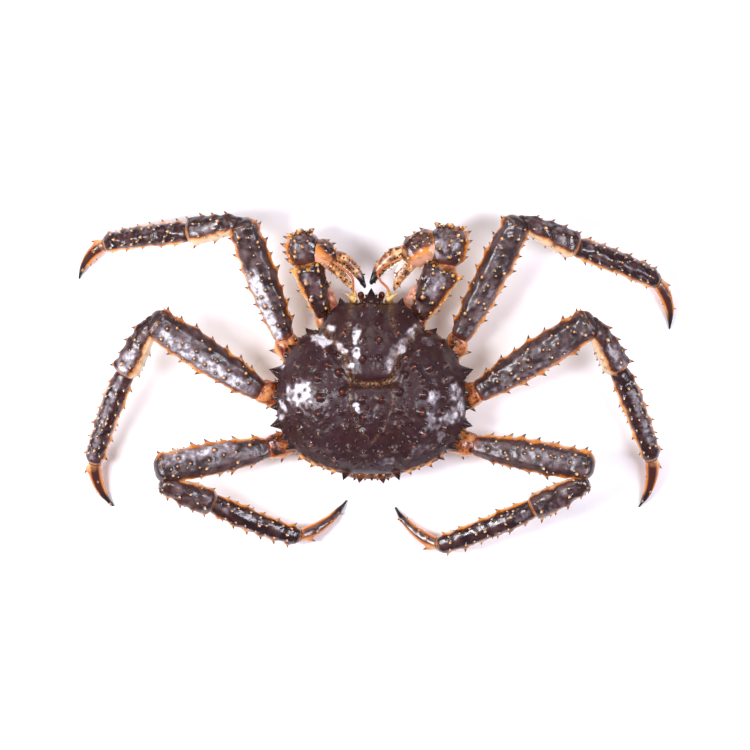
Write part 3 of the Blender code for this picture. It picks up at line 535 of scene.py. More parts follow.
def mark_spines(item, spines):
    """Stores how far up a spine each point is, how close to a spine's foot, and the spine's tone."""
    points = mesh_points(item)
    proud = np.zeros(len(points))
    ring = np.zeros(len(points))
    tone = np.zeros(len(points))
    for spine in spines:
        offset = points - np.array(spine.root)
        height = offset @ np.array(spine.way) / spine.length
        sunk = offset - np.outer(height * spine.length, np.array(spine.way))
        bend = SPINE_BEND * spine.radius * np.clip(height, 0, 1) ** 2
        off = np.linalg.norm(sunk - np.outer(bend, np.array(spine.across)), axis=1)
        on = (height > 0.03) & (off < spine.radius * 1.3 * (1.05 - height) + 0.12) & (height < 1.05)
        rise = np.where(on, np.clip(height, 0, 1), 0)
        tone = np.where(rise > proud, spine.tone, tone)
        proud = np.maximum(proud, rise)
        distance = np.linalg.norm(offset, axis=1)
        ring = np.maximum(ring, 1 - smooth_step(spine.radius, spine.radius + 2.4, distance))
    store(item, "spines", proud, ring, tone)


def bumps(points, normals, roots, radius, height):
    """Pushes points out along their normals into round bumps about the roots."""
    for root, wide, tall in zip(roots, radius, height):
        distance = np.linalg.norm(points - root, axis=1)
        near = distance < wide
        push = tall * (1 - (distance[near] / wide) ** 2) ** 2
        points[near] += normals[near] * push[:, None]


class Segment:
    """One shell segment of a limb: a rounded tube on a gently bowed line, broad side up."""

    def __init__(self, kind, start, end, half_width, half_depth, side_sign, bow=0.0):
        self.kind, self.form = kind, FORMS[kind]
        self.start = np.array(start, float)
        run = Vector(end) - Vector(start)
        self.length = run.length
        axis = run.normalized()
        up = (Vector((0, 0, 1)) - axis * axis.z).normalized()
        side = up.cross(axis) * side_sign
        self.axis, self.up, self.side = np.array(axis), np.array(up), np.array(side)
        self.half_width, self.half_depth = half_width, half_depth
        self.bow = bow
        self.far = 1.0 + self.form["reach"]
        self.pale_lead, self.pale_all = self.form["pale"]

    def centre(self, t):
        """The middle line at places t along it."""
        t = np.asarray(t, float)[..., None]
        return self.start + self.axis * (self.length * t) + self.side * (4 * t * (1 - t) * self.bow)

    def sizes(self, t):
        """Half width and half depth at places t."""
        return self.half_width * along(self.form["width"], t), self.half_depth * along(self.form["depth"], t)

    def point(self, t, angle):
        """A point of the skin: t along the segment, and the angle round it with 90 on top."""
        width, depth = self.sizes(t)
        c, s = np.cos(np.radians(angle)), np.sin(np.radians(angle))
        out = np.sign(c) * np.abs(c) ** ROUNDNESS * width
        over = np.sign(s) * np.abs(s) ** ROUNDNESS * depth
        return self.centre(t) + self.side * out[..., None] + self.up * over[..., None]

    def normal(self, t, angle):
        """The way outwards at a point of the skin."""
        width, depth = self.sizes(t)
        c, s = np.cos(np.radians(angle)) / width, np.sin(np.radians(angle)) / depth
        found = self.side * c[..., None] + self.up * s[..., None]
        return found / np.linalg.norm(found, axis=-1, keepdims=True)

    def holds(self, point, margin):
        """Whether a point is inside the segment, or within margin of it."""
        offset = np.array(point) - self.start
        t = offset @ self.axis / self.length
        slack = margin / self.length
        if not -slack <= t <= self.far + slack:
            return False
        width, depth = self.sizes(t)
        rest = np.array(point) - self.centre(min(max(t, 0.0), 1.0))
        return (rest @ self.side / (width + margin)) ** 2 + (rest @ self.up / (depth + margin)) ** 2 < 1

    def spine_at(self, t, turn, size, tone):
        """A spine on the skin, leaning outwards along the segment."""
        root, out = Vector(self.point(t, turn)), Vector(self.normal(t, turn))
        lean, axis = math.radians(SPINE_LEAN), Vector(self.axis)
        way = (out * math.cos(lean) + axis * math.sin(lean)).normalized()
        slender = SPINE_SLENDERNESS if tone else PALE_SPINE_SLENDERNESS
        return Spine(root, way, axis, size, size * slender, tone)

    def clear_of(self, spine, obstacles):
        """Whether a spine keeps clear of the neighbouring segments."""
        reached = [spine.root + spine.way * (spine.length * step) for step in (0.0, 0.5, 1.0)]
        return not any(o.holds(p, 2.0) for o in obstacles for p in reached)

    def main_spines(self, rng, obstacles):
        """The rows of spines that the solid has too, each strayed a little from its even place."""
        found = []
        for angle, count, length, first, last in self.form["spines"]:
            for i in range(count):
                share = i / (count - 1) if count > 1 else 0.0
                t = first + (last - first) * share + rng.uniform(-0.02, 0.02)
                turn = angle + rng.uniform(-7, 7)
                size = length * rng.uniform(0.7, 1.2)
                tone = 1.0 if abs(math.cos(math.radians(angle))) > 0.8 else 0.0
                size *= SPINE_SHARE if tone else PALE_SPINE_SHARE
                spine = self.spine_at(t, turn, size, tone)
                if self.clear_of(spine, obstacles):
                    found.append(spine)
        return found

    def small_spines(self, rng, obstacles, taken):
        """Short spines: rows of dots along the top, then others strewn over it and down the edges.

        On a claw's arm and palm the longer ones are golden.
        """
        found = []
        for angle, count in self.form.get("dots", ()):
            for i in range(count):
                t, turn = 0.1 + 0.84 * (i + rng.uniform(0.3, 0.7)) / count, angle + rng.uniform(-6, 6)
                spine = self.spine_at(t, turn, rng.uniform(2.2, 3.0), 0.0)
                if self.clear_of(spine, obstacles) and all((spine.root - o.root).length > 4 for o in taken):
                    found.append(spine)
        for _ in range(self.form["small"]):
            t, turn = rng.uniform(0.12, 0.94), rng.uniform(-18, 198)
            edge = abs(math.cos(math.radians(turn))) > 0.8
            size = rng.uniform(1.8, 3.4) if edge else rng.uniform(1.6, 2.8)
            golden = self.kind in ("claw_merus", "claw_carpus", "palm") and size > 2.3
            tone = -1.0 if golden else float(edge)
            spine = self.spine_at(t, turn, size * (1.3 if golden else 1.0), tone)
            apart = all((spine.root - other.root).length > 4.5 for other in taken + found)
            if apart and self.clear_of(spine, obstacles):
                found.append(spine)
        return found

    def fine_shell(self, name, spines, rng):
        """The bare shell with its ridges, lips, lumps and granules, ready for its spines."""
        length, far = self.length, self.far
        pointed = self.form["width"][-1] < 0.3
        count = max(24, round(length * far / SKIN_STEP))
        s = np.linspace(0, 1, count)
        t = far * (s - 0.6 * np.sin(math.tau * s) / math.tau)
        from_start, from_end = t * length, (far - t) * length
        fade, last = (LIP_ROUNDING, 0.12) if pointed else (CAP_ROUNDING, 0.3)
        share = rounded_end(from_start, END_ROUNDING, 0.7) * rounded_end(from_end, fade, last)
        around = round(math.tau * math.sqrt(self.half_width * self.half_depth) / SKIN_STEP)
        angle = (np.arange(max(around, 24)) + 0.5) * 360 / max(around, 24)
        tt, aa = np.meshgrid(t, angle, indexing="ij")
        middle = self.centre(tt)
        skin = self.point(tt, aa)
        normals = self.normal(tt, aa)
        body = smooth_step(1.0, 7.0, from_start) * smooth_step(0.0, 1.0, share)
        push = np.zeros(tt.shape)
        for row in self.form["spines"]:
            if row[1] > 2:
                away = np.abs((aa - row[0] + 180) % 360 - 180)
                push += RIDGE_HEIGHT * np.exp(-(away / 11.0) ** 2)
        # A low lip round the outer end, and lumps of two sizes all over.
        if not pointed:
            swelling = 0.7 + 0.5 * rough(skin, 6.0, 5.0).reshape(tt.shape)
            push += 0.6 * np.exp(-((from_end[:, None] - 10.0) / 3.0) ** 2) * swelling
        lumpy = 1.8 if self.kind in ("coxa", "claw_coxa") else 1.0
        push += lumpy * 0.8 * rough(skin, 9.0, 3.0).reshape(tt.shape)
        push += max(lumpy, 1.4) * 0.3 * rough(skin, 4.0, 7.0).reshape(tt.shape)
        if pointed:
            push *= 0.5
        skin = skin + normals * (push * body[:, None])[..., None]
        flat, out = skin.reshape(-1, 3), normals.reshape(-1, 3)
        roots = [np.array(spine.root) for spine in spines]
        bosses = [BOSS_HEIGHT * spine.length / 4 for spine in spines]
        bumps(flat, out, roots, [spine.radius * 2.3 + 1.0 for spine in spines], bosses)
        spots = [(rng.uniform(0.06, 0.95), rng.uniform(-40, 220)) for _ in range(self.form["granules"])]
        if spots:
            roots = self.point(*np.transpose(spots))
            widths = [rng.uniform(1.3, 2.1) for _ in spots]
            bumps(flat, out, roots, widths, [rng.uniform(0.25, 0.6) for _ in spots])
        skin = flat.reshape(skin.shape)
        rings = list(middle + (skin - middle) * share[:, None, None])
        if not pointed:
            end, edge = middle[-1], rings[-1]
            rings += [end + (edge - end) * inner for inner in (0.7, 0.4, 0.15)]
        return lofted(name, rings)

    def across(self, points):
        """For each point: how far towards the leading edge it is, 1 being that edge."""
        offset = points - self.start
        t = offset @ self.axis / self.length
        return (points - self.centre(np.clip(t, 0, 1))) @ self.side / self.sizes(t)[0]

    def zones(self, points):
        """For each point: towards the pale side, towards the top, closeness of the ends; and its place."""
        offset = points - self.start
        t = offset @ self.axis / self.length
        rest = points - self.centre(np.clip(t, 0, 1))
        width, depth = self.sizes(t)
        out, over = rest @ self.side / width, rest @ self.up / depth
        size = np.maximum(np.hypot(out, over), 1e-6)
        inner = 1 - smooth_step(0.0, 10.0, t * self.length)
        outer = 1 - smooth_step(0.0, 7.0, (self.far - t) * self.length)
        pale = out / size * self.pale_lead + self.pale_all
        return (pale, over / size, outer - inner), t


def ends_of(start, heading, length, end_height):
    """The far end of a piece that starts at start, keeps to a heading and ends at a height."""
    rise = end_height - start[2]
    level = math.sqrt(length * length - rise * rise)
    turn = math.radians(heading)
    return start[0] + level * math.cos(turn), start[1] + level * math.sin(turn), end_height


def leg_segments(name):
    """The five segments of one walking leg, from the body outwards."""
    side_sign = 1 if "right" in name else -1
    root, lengths, headings, heights, knee_out = LEG_POSES[name]
    widths = (10.5, MERUS_HALF_WIDTH[int(name[-1])], 11.5, 9.8, 6.6)
    depths = (8.5, 11.4, 10.4, 9.0, 5.8)
    bows = (0.0, 0.0, 0.0, PROPODUS_BOW, DACTYL_BOW)
    start = (*root, heights[0])
    segments = {}
    for i, kind in enumerate(("coxa", "merus", "carpus", "propodus", "dactyl")):
        end = ends_of(start, headings[i], lengths[i], heights[i + 1])
        if kind == "coxa":
            start = ends_of(start, headings[i] + 180, COXA_INSET, heights[0])
        segments[kind] = Segment(kind, start, end, widths[i], depths[i], side_sign, bows[i])
        start = end
        if kind == "merus":
            knee = segments[kind].side * -knee_out
            start = (end[0] + knee[0], end[1] + knee[1], end[2])
    if name.endswith("3"):
        segments["merus"].pale_lead *= -1
        segments["carpus"].pale_lead = -0.1
        segments["carpus"].pale_all = 0.4
    return segments


def claw_segments(name):
    """The pieces of one claw. The thumb is the fixed finger, which is one with the palm."""
    side_sign = 1 if "right" in name else -1
    kinds = {"coxa": "claw_coxa", "merus": "claw_merus", "carpus": "claw_carpus", "thumb": "finger"}
    segments = {}
    for piece, (start, heading, length, half_width, half_depth, end_height) in CLAWS[name].items():
        end = ends_of(start, heading, length, end_height)
        kind, bow = kinds.get(piece, piece), FINGER_BOWS.get(piece, 0.0)
        segments[piece] = Segment(kind, start, end, half_width, half_depth, side_sign, bow)
    if name == "claw_left":
        segments["palm"].pale_all = 1.1
    return segments


def outline_knots():
    """Radius of the carapace's outline at evenly spaced bearings, the first at half a step."""
    points = [*OUTLINE, *((-x, y) for x, y in reversed(OUTLINE[1:-1]))]
    knots = sorted((math.degrees(math.atan2(y, x)) % 360, math.hypot(x, y)) for x, y in points)
    knots = [(knots[-1][0] - 360, knots[-1][1]), *knots, (knots[0][0] + 360, knots[0][1])]
    found = []
    for i in range(OUTLINE_SAMPLES):
        bearing = 360.0 * (i + 0.5) / OUTLINE_SAMPLES
        low, high = next(pair for pair in zip(knots, knots[1:]) if pair[0][0] <= bearing <= pair[1][0])
        found.append(low[1] + (high[1] - low[1]) * float(smooth_step(low[0], high[0], bearing)))
    return found


OUTLINE_RADII = outline_knots()


def outline_radius(bearing):
    """Distance from the middle of the body to the carapace's margin at bearings in degrees."""
    knots = np.array([OUTLINE_RADII[i % OUTLINE_SAMPLES] for i in range(-2, OUTLINE_SAMPLES + 3)])
    place = (np.asarray(bearing, float) % 360) / 360 * OUTLINE_SAMPLES - 0.5
    return along(knots, (place + 2) / (len(knots) - 1))


def out_share(x, y):
    """How far out a point is: 0 at the middle of the body and 1 at the margin."""
    return np.hypot(x, y) / outline_radius(np.degrees(np.arctan2(y, x)))


def relief(x, y):
    """Height of the carapace's regions above its plain dome, and depth of the grooves between them."""
    across = np.abs(x)
    gastric = 5.0 * np.exp(-((across / 27.0) ** 4) - ((y - 43.0) / 33.0) ** 4)
    branchial = 4.5 * np.exp(-(((across - 50.0) / 30.0) ** 2) - ((y + 12.0) / 42.0) ** 2)
    cardiac_edge = 19.0 * (1.0 - smooth_step(-46.0, 10.0, -y - 36.0)) + 3.0
    cardiac_length = smooth_step(-52, -40, y) * (1 - smooth_step(-2, 6, y))
    cardiac = 2.5 * np.exp(-((across / cardiac_edge) ** 4)) * cardiac_length
    neck_groove = 3.5 * np.exp(-(((y - 7.0) / 4.0) ** 2)) * (1 - smooth_step(18, 30, across))
    groove_line = 19.5 + 0.45 * (y - 7.5)
    side_groove = 3.5 * np.exp(-(((across - groove_line) / 4.5) ** 2)) * smooth_step(0, 12, y)
    return gastric + branchial + cardiac - neck_groove - side_groove


def carapace_height(x, y, share):
    """Height of the carapace's upper skin, where share is the distance out from 0 in the middle to 1."""
    dome = np.maximum(1.0 - share**2.3, 0.0) ** 0.72
    fade = 1.0 - smooth_step(0.72, 1.0, share)
    return RIM_HEIGHT + (CARAPACE_TOP - RIM_HEIGHT) * dome + relief(x, y) * fade


def creases(x, y):
    """How deep the carapace's creases are at each point, and how tan."""
    points = np.stack([np.abs(x), y], axis=1)
    deep, tan = np.zeros(len(points)), np.zeros(len(points))
    for width, depth, tint, line in CREASES:
        nearest = np.full(len(points), 1e9)
        for a, b in zip(line, line[1:]):
            a, run = np.array(a), np.array(b) - np.array(a)
            t = np.clip((points - a) @ run / (run @ run), 0, 1)
            nearest = np.minimum(nearest, np.linalg.norm(points - a - t[:, None] * run, axis=1))
        deep = np.maximum(deep, depth * np.exp(-((nearest / (0.6 * width)) ** 2)))
        tan = np.maximum(tan, tint * np.exp(-((nearest / width) ** 2)))
    return deep, tan


def painted_back_highlights(x, y):
    """How strong the painted highlights are at each point of the carapace."""
    found = np.zeros(len(x))
    ragged = 0.55 * rough(np.stack([x, y, 0 * x], axis=1), 4.5, 17.0)
    for px, py, long, wide, heading, strength in PAINTED_BACK_HIGHLIGHTS:
        c, s = math.cos(math.radians(heading)), math.sin(math.radians(heading))
        dx, dy = x - px, y - py
        away = np.hypot((dx * c + dy * s) / long, (dy * c - dx * s) / wide)
        found = np.maximum(found, strength * smooth_step(1.5, 0.5, away + ragged))
    return found


def margin_lip(x, y):
    """How far the carapace's pale under-edge stands out past the margin, as it does in front and behind."""
    bearing = np.degrees(np.arctan2(y, np.abs(x)))
    front = smooth_step(12, 20, bearing) * smooth_step(60, 50, bearing)
    back = smooth_step(-36, -44, bearing) * smooth_step(-80, -70, bearing)
    return 0.012 * front + 0.022 * back


def margin_place(bearing, sign, reach, height, lift):
    """The foot of a spine at the carapace's margin, and the spine's way: outwards, with a lift."""
    x, y = sign * math.cos(math.radians(bearing)), math.sin(math.radians(bearing))
    return Vector((reach * x, reach * y, height)), Vector((x, y, lift)).normalized()


def carapace_spines(rng):
    """Tubercles over the back, sharp spines round the margin, and the rostrum."""
    places = [(sign * PAIR_HALF_GAP, y) for y in PAIR_PLACES for sign in (-1, 1)]
    places += [(sign * x, y) for x, y in LOBE_TUBERCLES for sign in (-1, 1)]
    found = []
    for x, y in places:
        x += rng.uniform(-TUBERCLE_STRAY, TUBERCLE_STRAY)
        y += rng.uniform(-TUBERCLE_STRAY, TUBERCLE_STRAY)
        size = TUBERCLE_HEIGHT * rng.uniform(0.7, 1.25)
        share = float(out_share(x, y))
        if share < 0.93:
            out = Vector((x, y, 90.0)).normalized()
            root = (x, y, float(carapace_height(x, y, share)))
            radius = size * TUBERCLE_RADIUS / TUBERCLE_HEIGHT
            found.append(Spine(root, out, FORWARDS, size, radius, 0.0))
    for bearing, length in MARGIN_SPINES:
        for sign in (-1, 1):
            root, way = margin_place(bearing, sign, float(outline_radius(bearing)), RIM_HEIGHT + 0.5, 0.12)
            corner = -70 < bearing < -40
            length_in = length * (0.85 if corner else 1.0) + 1.5
            tone = -1.0 if corner else 1.0
            found.append(Spine(root - way * 1.5, way, Vector((0, 1, 0.2)), length_in, length_in * 0.55, tone))
    way = Vector((0, 1.0, 0.22)).normalized()
    found.append(Spine((0, 73.0, 48.0), way, UPWARDS, ROSTRUM_LENGTH, ROSTRUM_LENGTH * 0.5, 1.0, 0.75))
    for sign in (-1, 1):
        for x, y, length in ((4.5, 77.0, 6.5), (2.6, 82.5, 5.0)):
            way = Vector((sign * 0.75, 0.7, 0.5)).normalized()
            found.append(Spine((sign * x, y, 50.0), way, UPWARDS, length, length * 0.5, 1.0))
        way = Vector((sign * 0.15, 0.35, 1.0)).normalized()
        found.append(Spine((sign * 2.4, 73.0, 53.0), way, FORWARDS, 7.5, 3.0, 0.0))
    for bearing in SMALL_MARGIN_BEARINGS:
        for sign in (-1, 1):
            here, reach = bearing + rng.uniform(-2, 2), float(outline_radius(bearing))
            root, way = margin_place(here, sign, reach, RIM_HEIGHT + rng.uniform(0, 2), 0.3)
            length = rng.uniform(4.0, 5.6)
            found.append(Spine(root - way * 1.5, way, Vector((0, 1, 0.2)), length, length * 0.5, 1.0))
    return found


def granule_spines(taken):
    """Tiny pale-tipped tubercles between the large ones, thickest towards the back."""
    rng = random.Random(12)
    found = []
    while len(found) < GRANULES:
        x, y = rng.uniform(-80, 80), rng.uniform(-70, 72)
        share = float(out_share(x, y))
        if share > 0.94 or rng.random() > 0.25 + 0.75 * smooth_step(30, -40, y):
            continue
        root = Vector((x, y, float(carapace_height(x, y, share))))
        if all((root - other.root).length > 4.2 for other in taken + found):
            size = rng.uniform(1.0, 2.3)
            out = Vector((x, y, 90.0)).normalized()
            found.append(Spine(root, out, FORWARDS, size, size * 0.62, 0.0))
    return found


def fringe_spines():
    """Small spines along the carapace's margin: black, and golden at the back, where they hang below it."""
    rng = random.Random(31)
    found = []
    for bearing in range(-86, 62, 5):
        for sign in (-1, 1):
            here = bearing + rng.uniform(-1.4, 1.4)
            if all(abs(here - other) > 2.6 for other, _ in MARGIN_SPINES):
                low = here < -40
                share, height, lift, tone = (0.985, 42.0, -0.12, -1.0) if low else (0.995, 44.5, 0.25, 0.9)
                reach = float(outline_radius(here if sign > 0 else 180 - here)) * share
                root, way = margin_place(here, sign, reach, height, lift)
                length = rng.uniform(3.2, 5.0) if low else rng.uniform(1.8, 3.0)
                found.append(Spine(root, way, FORWARDS, length, length * 0.42, tone))
    return found


def carapace(master):
    """The back shell: a domed top on an even net, a rounded margin and a flat underside."""
    bearings = (np.arange(MARGIN_POINTS) + 0.5) * 360 / MARGIN_POINTS
    reach = outline_radius(bearings)
    rim = np.stack([reach * np.cos(np.radians(bearings)), reach * np.sin(np.radians(bearings))], axis=1)
    # An even net of triangles over the back, and the margin's own points round it.
    row_step = BACK_STEP * math.sqrt(3) / 2
    rows = int(90 / row_step)
    row, column = np.meshgrid(np.arange(-rows, rows + 1), np.arange(-rows - 20, rows + 21), indexing="ij")
    x, y = ((column + 0.5 * (row % 2)) * BACK_STEP).ravel(), (row * row_step).ravel()
    inside = out_share(x, y) < 0.985
    net = [Vector(p) for p in rim.tolist()] + [Vector(p) for p in zip(x[inside].tolist(), y[inside].tolist())]
    count = len(rim)
    edges = [(i, (i + 1) % count) for i in range(count)]
    flat, _, faces, *_ = delaunay_2d_cdt(net, edges, [], 1, 1e-5)
    x, y = np.array([p.x for p in flat]), np.array([p.y for p in flat])
    share = np.minimum(out_share(x, y), 1.0)
    z = carapace_height(x, y, share)
    inner = 1 - smooth_step(0.93, 1.0, share)
    points = np.stack([x, y, z], axis=1)
    lumps = 1.2 * rough(points, 13.0, 1.0) + 0.6 * rough(points, 6.0, 2.0) + 0.1 * rough(points, 2.2, 4.0)
    z += inner * lumps
    z -= inner * creases(x, y)[0]
    points[:, 2] = z
    upward = np.stack([x / 90, y / 90, np.ones(len(x))], axis=1)
    upward /= np.linalg.norm(upward, axis=1, keepdims=True)
    spines = carapace_spines(master)
    backs = [spine for spine in spines if spine.tone == 0.0]
    mound_width, mound_height = ([size] * len(backs) for size in TUBERCLE_MOUND)
    bumps(points, upward, [np.array(spine.root) for spine in backs], mound_width, mound_height)
    spines += granule_spines(spines)
    rng = random.Random(5)
    grains = []
    while len(grains) < GRAINS:
        gx, gy = rng.uniform(-84, 84), rng.uniform(-74, 80)
        if out_share(gx, gy) < 0.97 and rng.random() < 0.35 + 0.65 * smooth_step(30, -30, gy):
            grains.append((gx, gy, float(carapace_height(gx, gy, float(out_share(gx, gy))))))
    widths = [rng.uniform(1.2, 2.2) for _ in grains]
    bumps(points, upward, np.array(grains), widths, [rng.uniform(0.3, 0.8) for _ in grains])
    # The underside, ring by ring inwards from the margin.
    rings = [list(range(count))]
    points = points.tolist()
    lip = margin_lip(rim[:, 0], rim[:, 1])
    for share_in, height in UNDER_MARGIN:
        rings.append(list(range(len(points), len(points) + count)))
        reach_in = share_in + lip * smooth_step(39.5, 41.5, height)
        points += [(px * r, py * r, height) for (px, py), r in zip(rim, reach_in)]
    for upper, lower in zip(rings, rings[1:]):
        faces += [(upper[i], lower[i], lower[(i + 1) % count], upper[(i + 1) % count]) for i in range(count)]
    points.append((0, 0, CARAPACE_FLOOR))
    faces += [(rings[-1][i], rings[-1][(i + 1) % count], len(points) - 1) for i in range(count)]
    item = link_mesh("carapace_skin", points, [tuple(face) for face in faces])
    spines += fringe_spines()
    grow_spines(item, spines)
    at = mesh_points(item)
    share = np.minimum(out_share(at[:, 0], at[:, 1]), 1.2)
    below = smooth_step(43.5, 42.0, at[:, 2])
    margin = smooth_step(0.955, 1.0, share) * (0.35 + 28 * margin_lip(at[:, 0], at[:, 1]))
    rng = random.Random(9)
    for spine in backs:
        spine.tone = rng.choice((0.0, 0.0, 0.25, 0.5))
    store(item, "zones", margin, creases(at[:, 0], at[:, 1])[1], below)
    mark_spines(item, spines)
    # The painted highlights' strength, none on the underside.
    store(item, "extra", painted_back_highlights(at[:, 0], at[:, 1]) * (1 - below))
    return item


def shell_piece(item, segment, spines, bare=None):
    """Keeps on a finished limb piece what its materials read."""
    at = mesh_points(item)
    zones, t = segment.zones(at)
    store(item, "zones", *zones)
    mark_spines(item, spines)
    # The painted sheen: whitish patches painted where the lamps' broad reflections lie on this piece.
    first, last, low, high, strength = LIMB_PAINTED_SHEEN.get(item.name.removesuffix("_skin"), NO_PAINTED_SHEEN)
    across = segment.across(at)
    sheen_share = strength * smooth_step(first - 0.06, first + 0.06, t) * smooth_step(last + 0.06, last - 0.06, t)
    sheen_share *= smooth_step(low - 0.25, low + 0.25, across) * smooth_step(high + 0.25, high - 0.25, across)
    sheen_share *= smooth_step(-0.2, 0.3, zones[1])
    store(item, "extra", t, bare(zones, t) if bare else 0.0, sheen_share)


def egg_rings(segment, middle, long, wide, deep, turns, sides, folds=0.0):
    """Rings of an egg that lies along a segment, from half length, width and depth, with folds round it."""
    b = np.arange(sides)[:, None] * math.tau / sides
    rings = []
    for a in turns:
        out = math.sin(a) * (1 + folds * math.sin(a * 18))
        ring = middle - segment.axis * (math.cos(a) * long)
        rings.append(ring + segment.side * (wide * out * np.cos(b)) + segment.up * (deep * out * np.sin(b)))
    return rings


def joint_skin(name, lumps):
    """Soft skin in a limb's joints: folded balls, each from its rosiness and what egg_rings takes."""
    turns = np.linspace(0, math.pi, 26)[1:-1]
    skin, *others = [lofted(name, egg_rings(*shape, turns, 40, JOINT_FOLDS)) for _, *shape in lumps]
    boolean(skin, "UNION", others)
    at = mesh_points(skin)
    nearest = np.argmin([np.linalg.norm(at - lump[2], axis=1) for lump in lumps], axis=0)
    store(skin, "extra", [lumps[i][0] for i in nearest])
    return skin


def ball(segment, rosy, inset=0.0):
    """The joint skin where a segment begins."""
    width, depth = segment.sizes(0.06)
    middle, share = segment.start + segment.axis * inset, JOINT_BALL_SHARE
    return rosy, segment, middle, JOINT_BALL_LENGTH, width * share, depth * share


def knee_spines(segments, folded):
    """Short spines round the rim of a leg's thigh and, on a folded leg, on the corner of its knee piece."""
    places = {"merus": [(0.975, turn) for turn in KNEE_RIM_TURNS], "carpus": KNEE_CORNER if folded else ()}
    return {
        kind: [segments[kind].spine_at(t, turn, KNEE_SPINE_LENGTH, 1.0) for t, turn in places[kind]]
        for kind in places
    }


def leg(name, master):
    """One walking leg: five shells, each cut back where the one before it turns, and its joints' skin."""
    segments = leg_segments(name)
    order = list(segments)
    small = random.Random(name)
    knees = knee_spines(segments, name.endswith("3"))
    spines, cores = {}, {}
    for i, kind in enumerate(order):
        neighbours = [segments[k] for k in order[max(i - 1, 0): i + 2] if k != kind]
        spines[kind] = segments[kind].main_spines(master, neighbours)
        spines[kind] += segments[kind].small_spines(small, neighbours, spines[kind])
        spines[kind] += knees.get(kind, [])
        cores[kind] = segments[kind].fine_shell(f"{name}_{kind}_skin", spines[kind], small)
    clearances = {kind: copy_of(core, JOINT_GAP) for kind, core in cores.items()}
    for i, kind in enumerate(order):
        grow_spines(cores[kind], spines[kind])
        if i:
            boolean(cores[kind], "DIFFERENCE", [clearances[order[i - 1]]])
            keep_largest(cores[kind])
        shell_piece(cores[kind], segments[kind], spines[kind])
    bpy.data.objects.remove(clearances["dactyl"], do_unlink=True)
    rosiness = {"merus": 1.0, "carpus": 0.0, "propodus": 0.3, "dactyl": 0.4}
    tucked = {"carpus": TUCKED_SKIN} if name.endswith("3") else {}
    lumps = [ball(segments[kind], rosy, tucked.get(kind, 0.0)) for kind, rosy in rosiness.items()]
    skins = joint_skin(f"{name}_joint_skins", lumps)
    for kind, core in cores.items():
        finish_piece(core, LEG_MATERIALS[kind], f"{name}_{kind}")
    finish_piece(skins, JOINT_SKIN)


def thumb_mask(zones, t):
    """The part of a palm's mesh that is its thumb."""
    return smooth_step(0.86, 1.0, t)


def facet_mask(zones, t):
    """The bare pink facet low on a claw's merus, where it lies against the carapace."""
    inner = smooth_step(0.15, 0.3, -zones[0]) * smooth_step(0.8, 0.5, zones[1])
    return inner * smooth_step(0.7, 0.45, t)


def rim_hooks(segment, largest, rng):
    """The ring of golden hooks round the outer end of a claw's merus or carpus."""
    found = []
    for turn in RIM_HOOK_TURNS:
        t, size = rng.uniform(0.94, 0.985), largest * rng.uniform(0.6, 1.0)
        found.append(segment.spine_at(t, turn + rng.uniform(-9, 9), size, -1.0))
    return found


def claw(name, master):
    """One claw: five shells, with rounded teeth along the fingers' inner edges."""
    segments = claw_segments(name)
    small = random.Random(name)
    spines, cores = {}, {}
    for piece, segment in segments.items():
        neighbours = [segments[k] for k in segments if k != piece]
        spines[piece] = segment.main_spines(master, neighbours)
        spines[piece] += segment.small_spines(small, neighbours, spines[piece])
        if piece in RIM_HOOKS:
            spines[piece] += rim_hooks(segment, RIM_HOOKS[piece], small)
        cores[piece] = segment.fine_shell(f"{name}_{piece}_skin", spines[piece], small)
    boolean(cores["palm"], "UNION", [cores.pop("thumb")])
    clearances = {piece: copy_of(core, JOINT_GAP) for piece, core in cores.items()}
    spines["palm"] += spines.pop("thumb")
    for piece, core in cores.items():
        grow_spines(core, spines[piece])
    for cut, by in CLAW_CUTS:
        boolean(cores[cut], "DIFFERENCE", [copy_of(clearances[by])])
        keep_largest(cores[cut])
    for clearance in clearances.values():
        bpy.data.objects.remove(clearance, do_unlink=True)
    bare = {"merus": facet_mask, "palm": thumb_mask}
    for piece, core in cores.items():
        shell_piece(core, segments[piece], spines[piece], bare.get(piece))
        finish_piece(core, CLAW_MATERIALS[piece], f"{name}_{piece}")
    lumps = [ball(segments[k], 0.9) for k in ("merus", "carpus", "palm", "finger")]
    upper = segments["merus"]
    facet = upper.centre(0.2) + upper.side * (upper.half_width * 0.7) - upper.up * 3.0
    lumps.append((1.0, upper, facet, 19.0, upper.half_width * 0.44, 6.0))
    finish_piece(joint_skin(f"{name}_joint_skins", lumps), JOINT_SKIN)
    finish_piece(teeth(name, segments), TOOTH)


def teeth(name, segments):
    """Rounded molars along the inner edges of the finger and the thumb."""
    rng = random.Random(name + "teeth")
    molars = []
    turns = np.linspace(0.15, math.pi - 0.15, 9)
    for piece, edge in MOLAR_EDGES:
        segment = segments[piece]
        for i in range(7):
            t = 0.18 + 0.085 * i
            radius = MOLAR_RADII[name] * (1.0 - 0.09 * i) * rng.uniform(0.9, 1.1)
            radius *= 1.0 if piece == "thumb" else 0.75
            middle = segment.point(t, edge) - segment.normal(t, edge) * 0.5
            rings = egg_rings(segment, middle, radius, radius * 0.9, radius * 1.15, turns, 12)
            molars.append(lofted(f"{name}_molar", rings))
    boolean(molars[0], "UNION", molars[1:])
    molars[0].name = f"{name}_teeth"
    return molars[0]


def tube_rings(points, radii, sides):
    """Rings of a round tube through points."""
    rings = []
    for i, point in enumerate(points):
        ahead = Vector(points[min(i + 1, len(points) - 1)] - points[max(i - 1, 0)]).normalized()
        across = ahead.orthogonal() if i == 0 else across - ahead * across.dot(ahead)
        across.normalize()
        other = ahead.cross(across)
        turns = np.arange(sides) * math.tau / sides
        out = np.outer(np.cos(turns), across) + np.outer(np.sin(turns), other)
        rings.append(point + out * radii[i])
    return rings


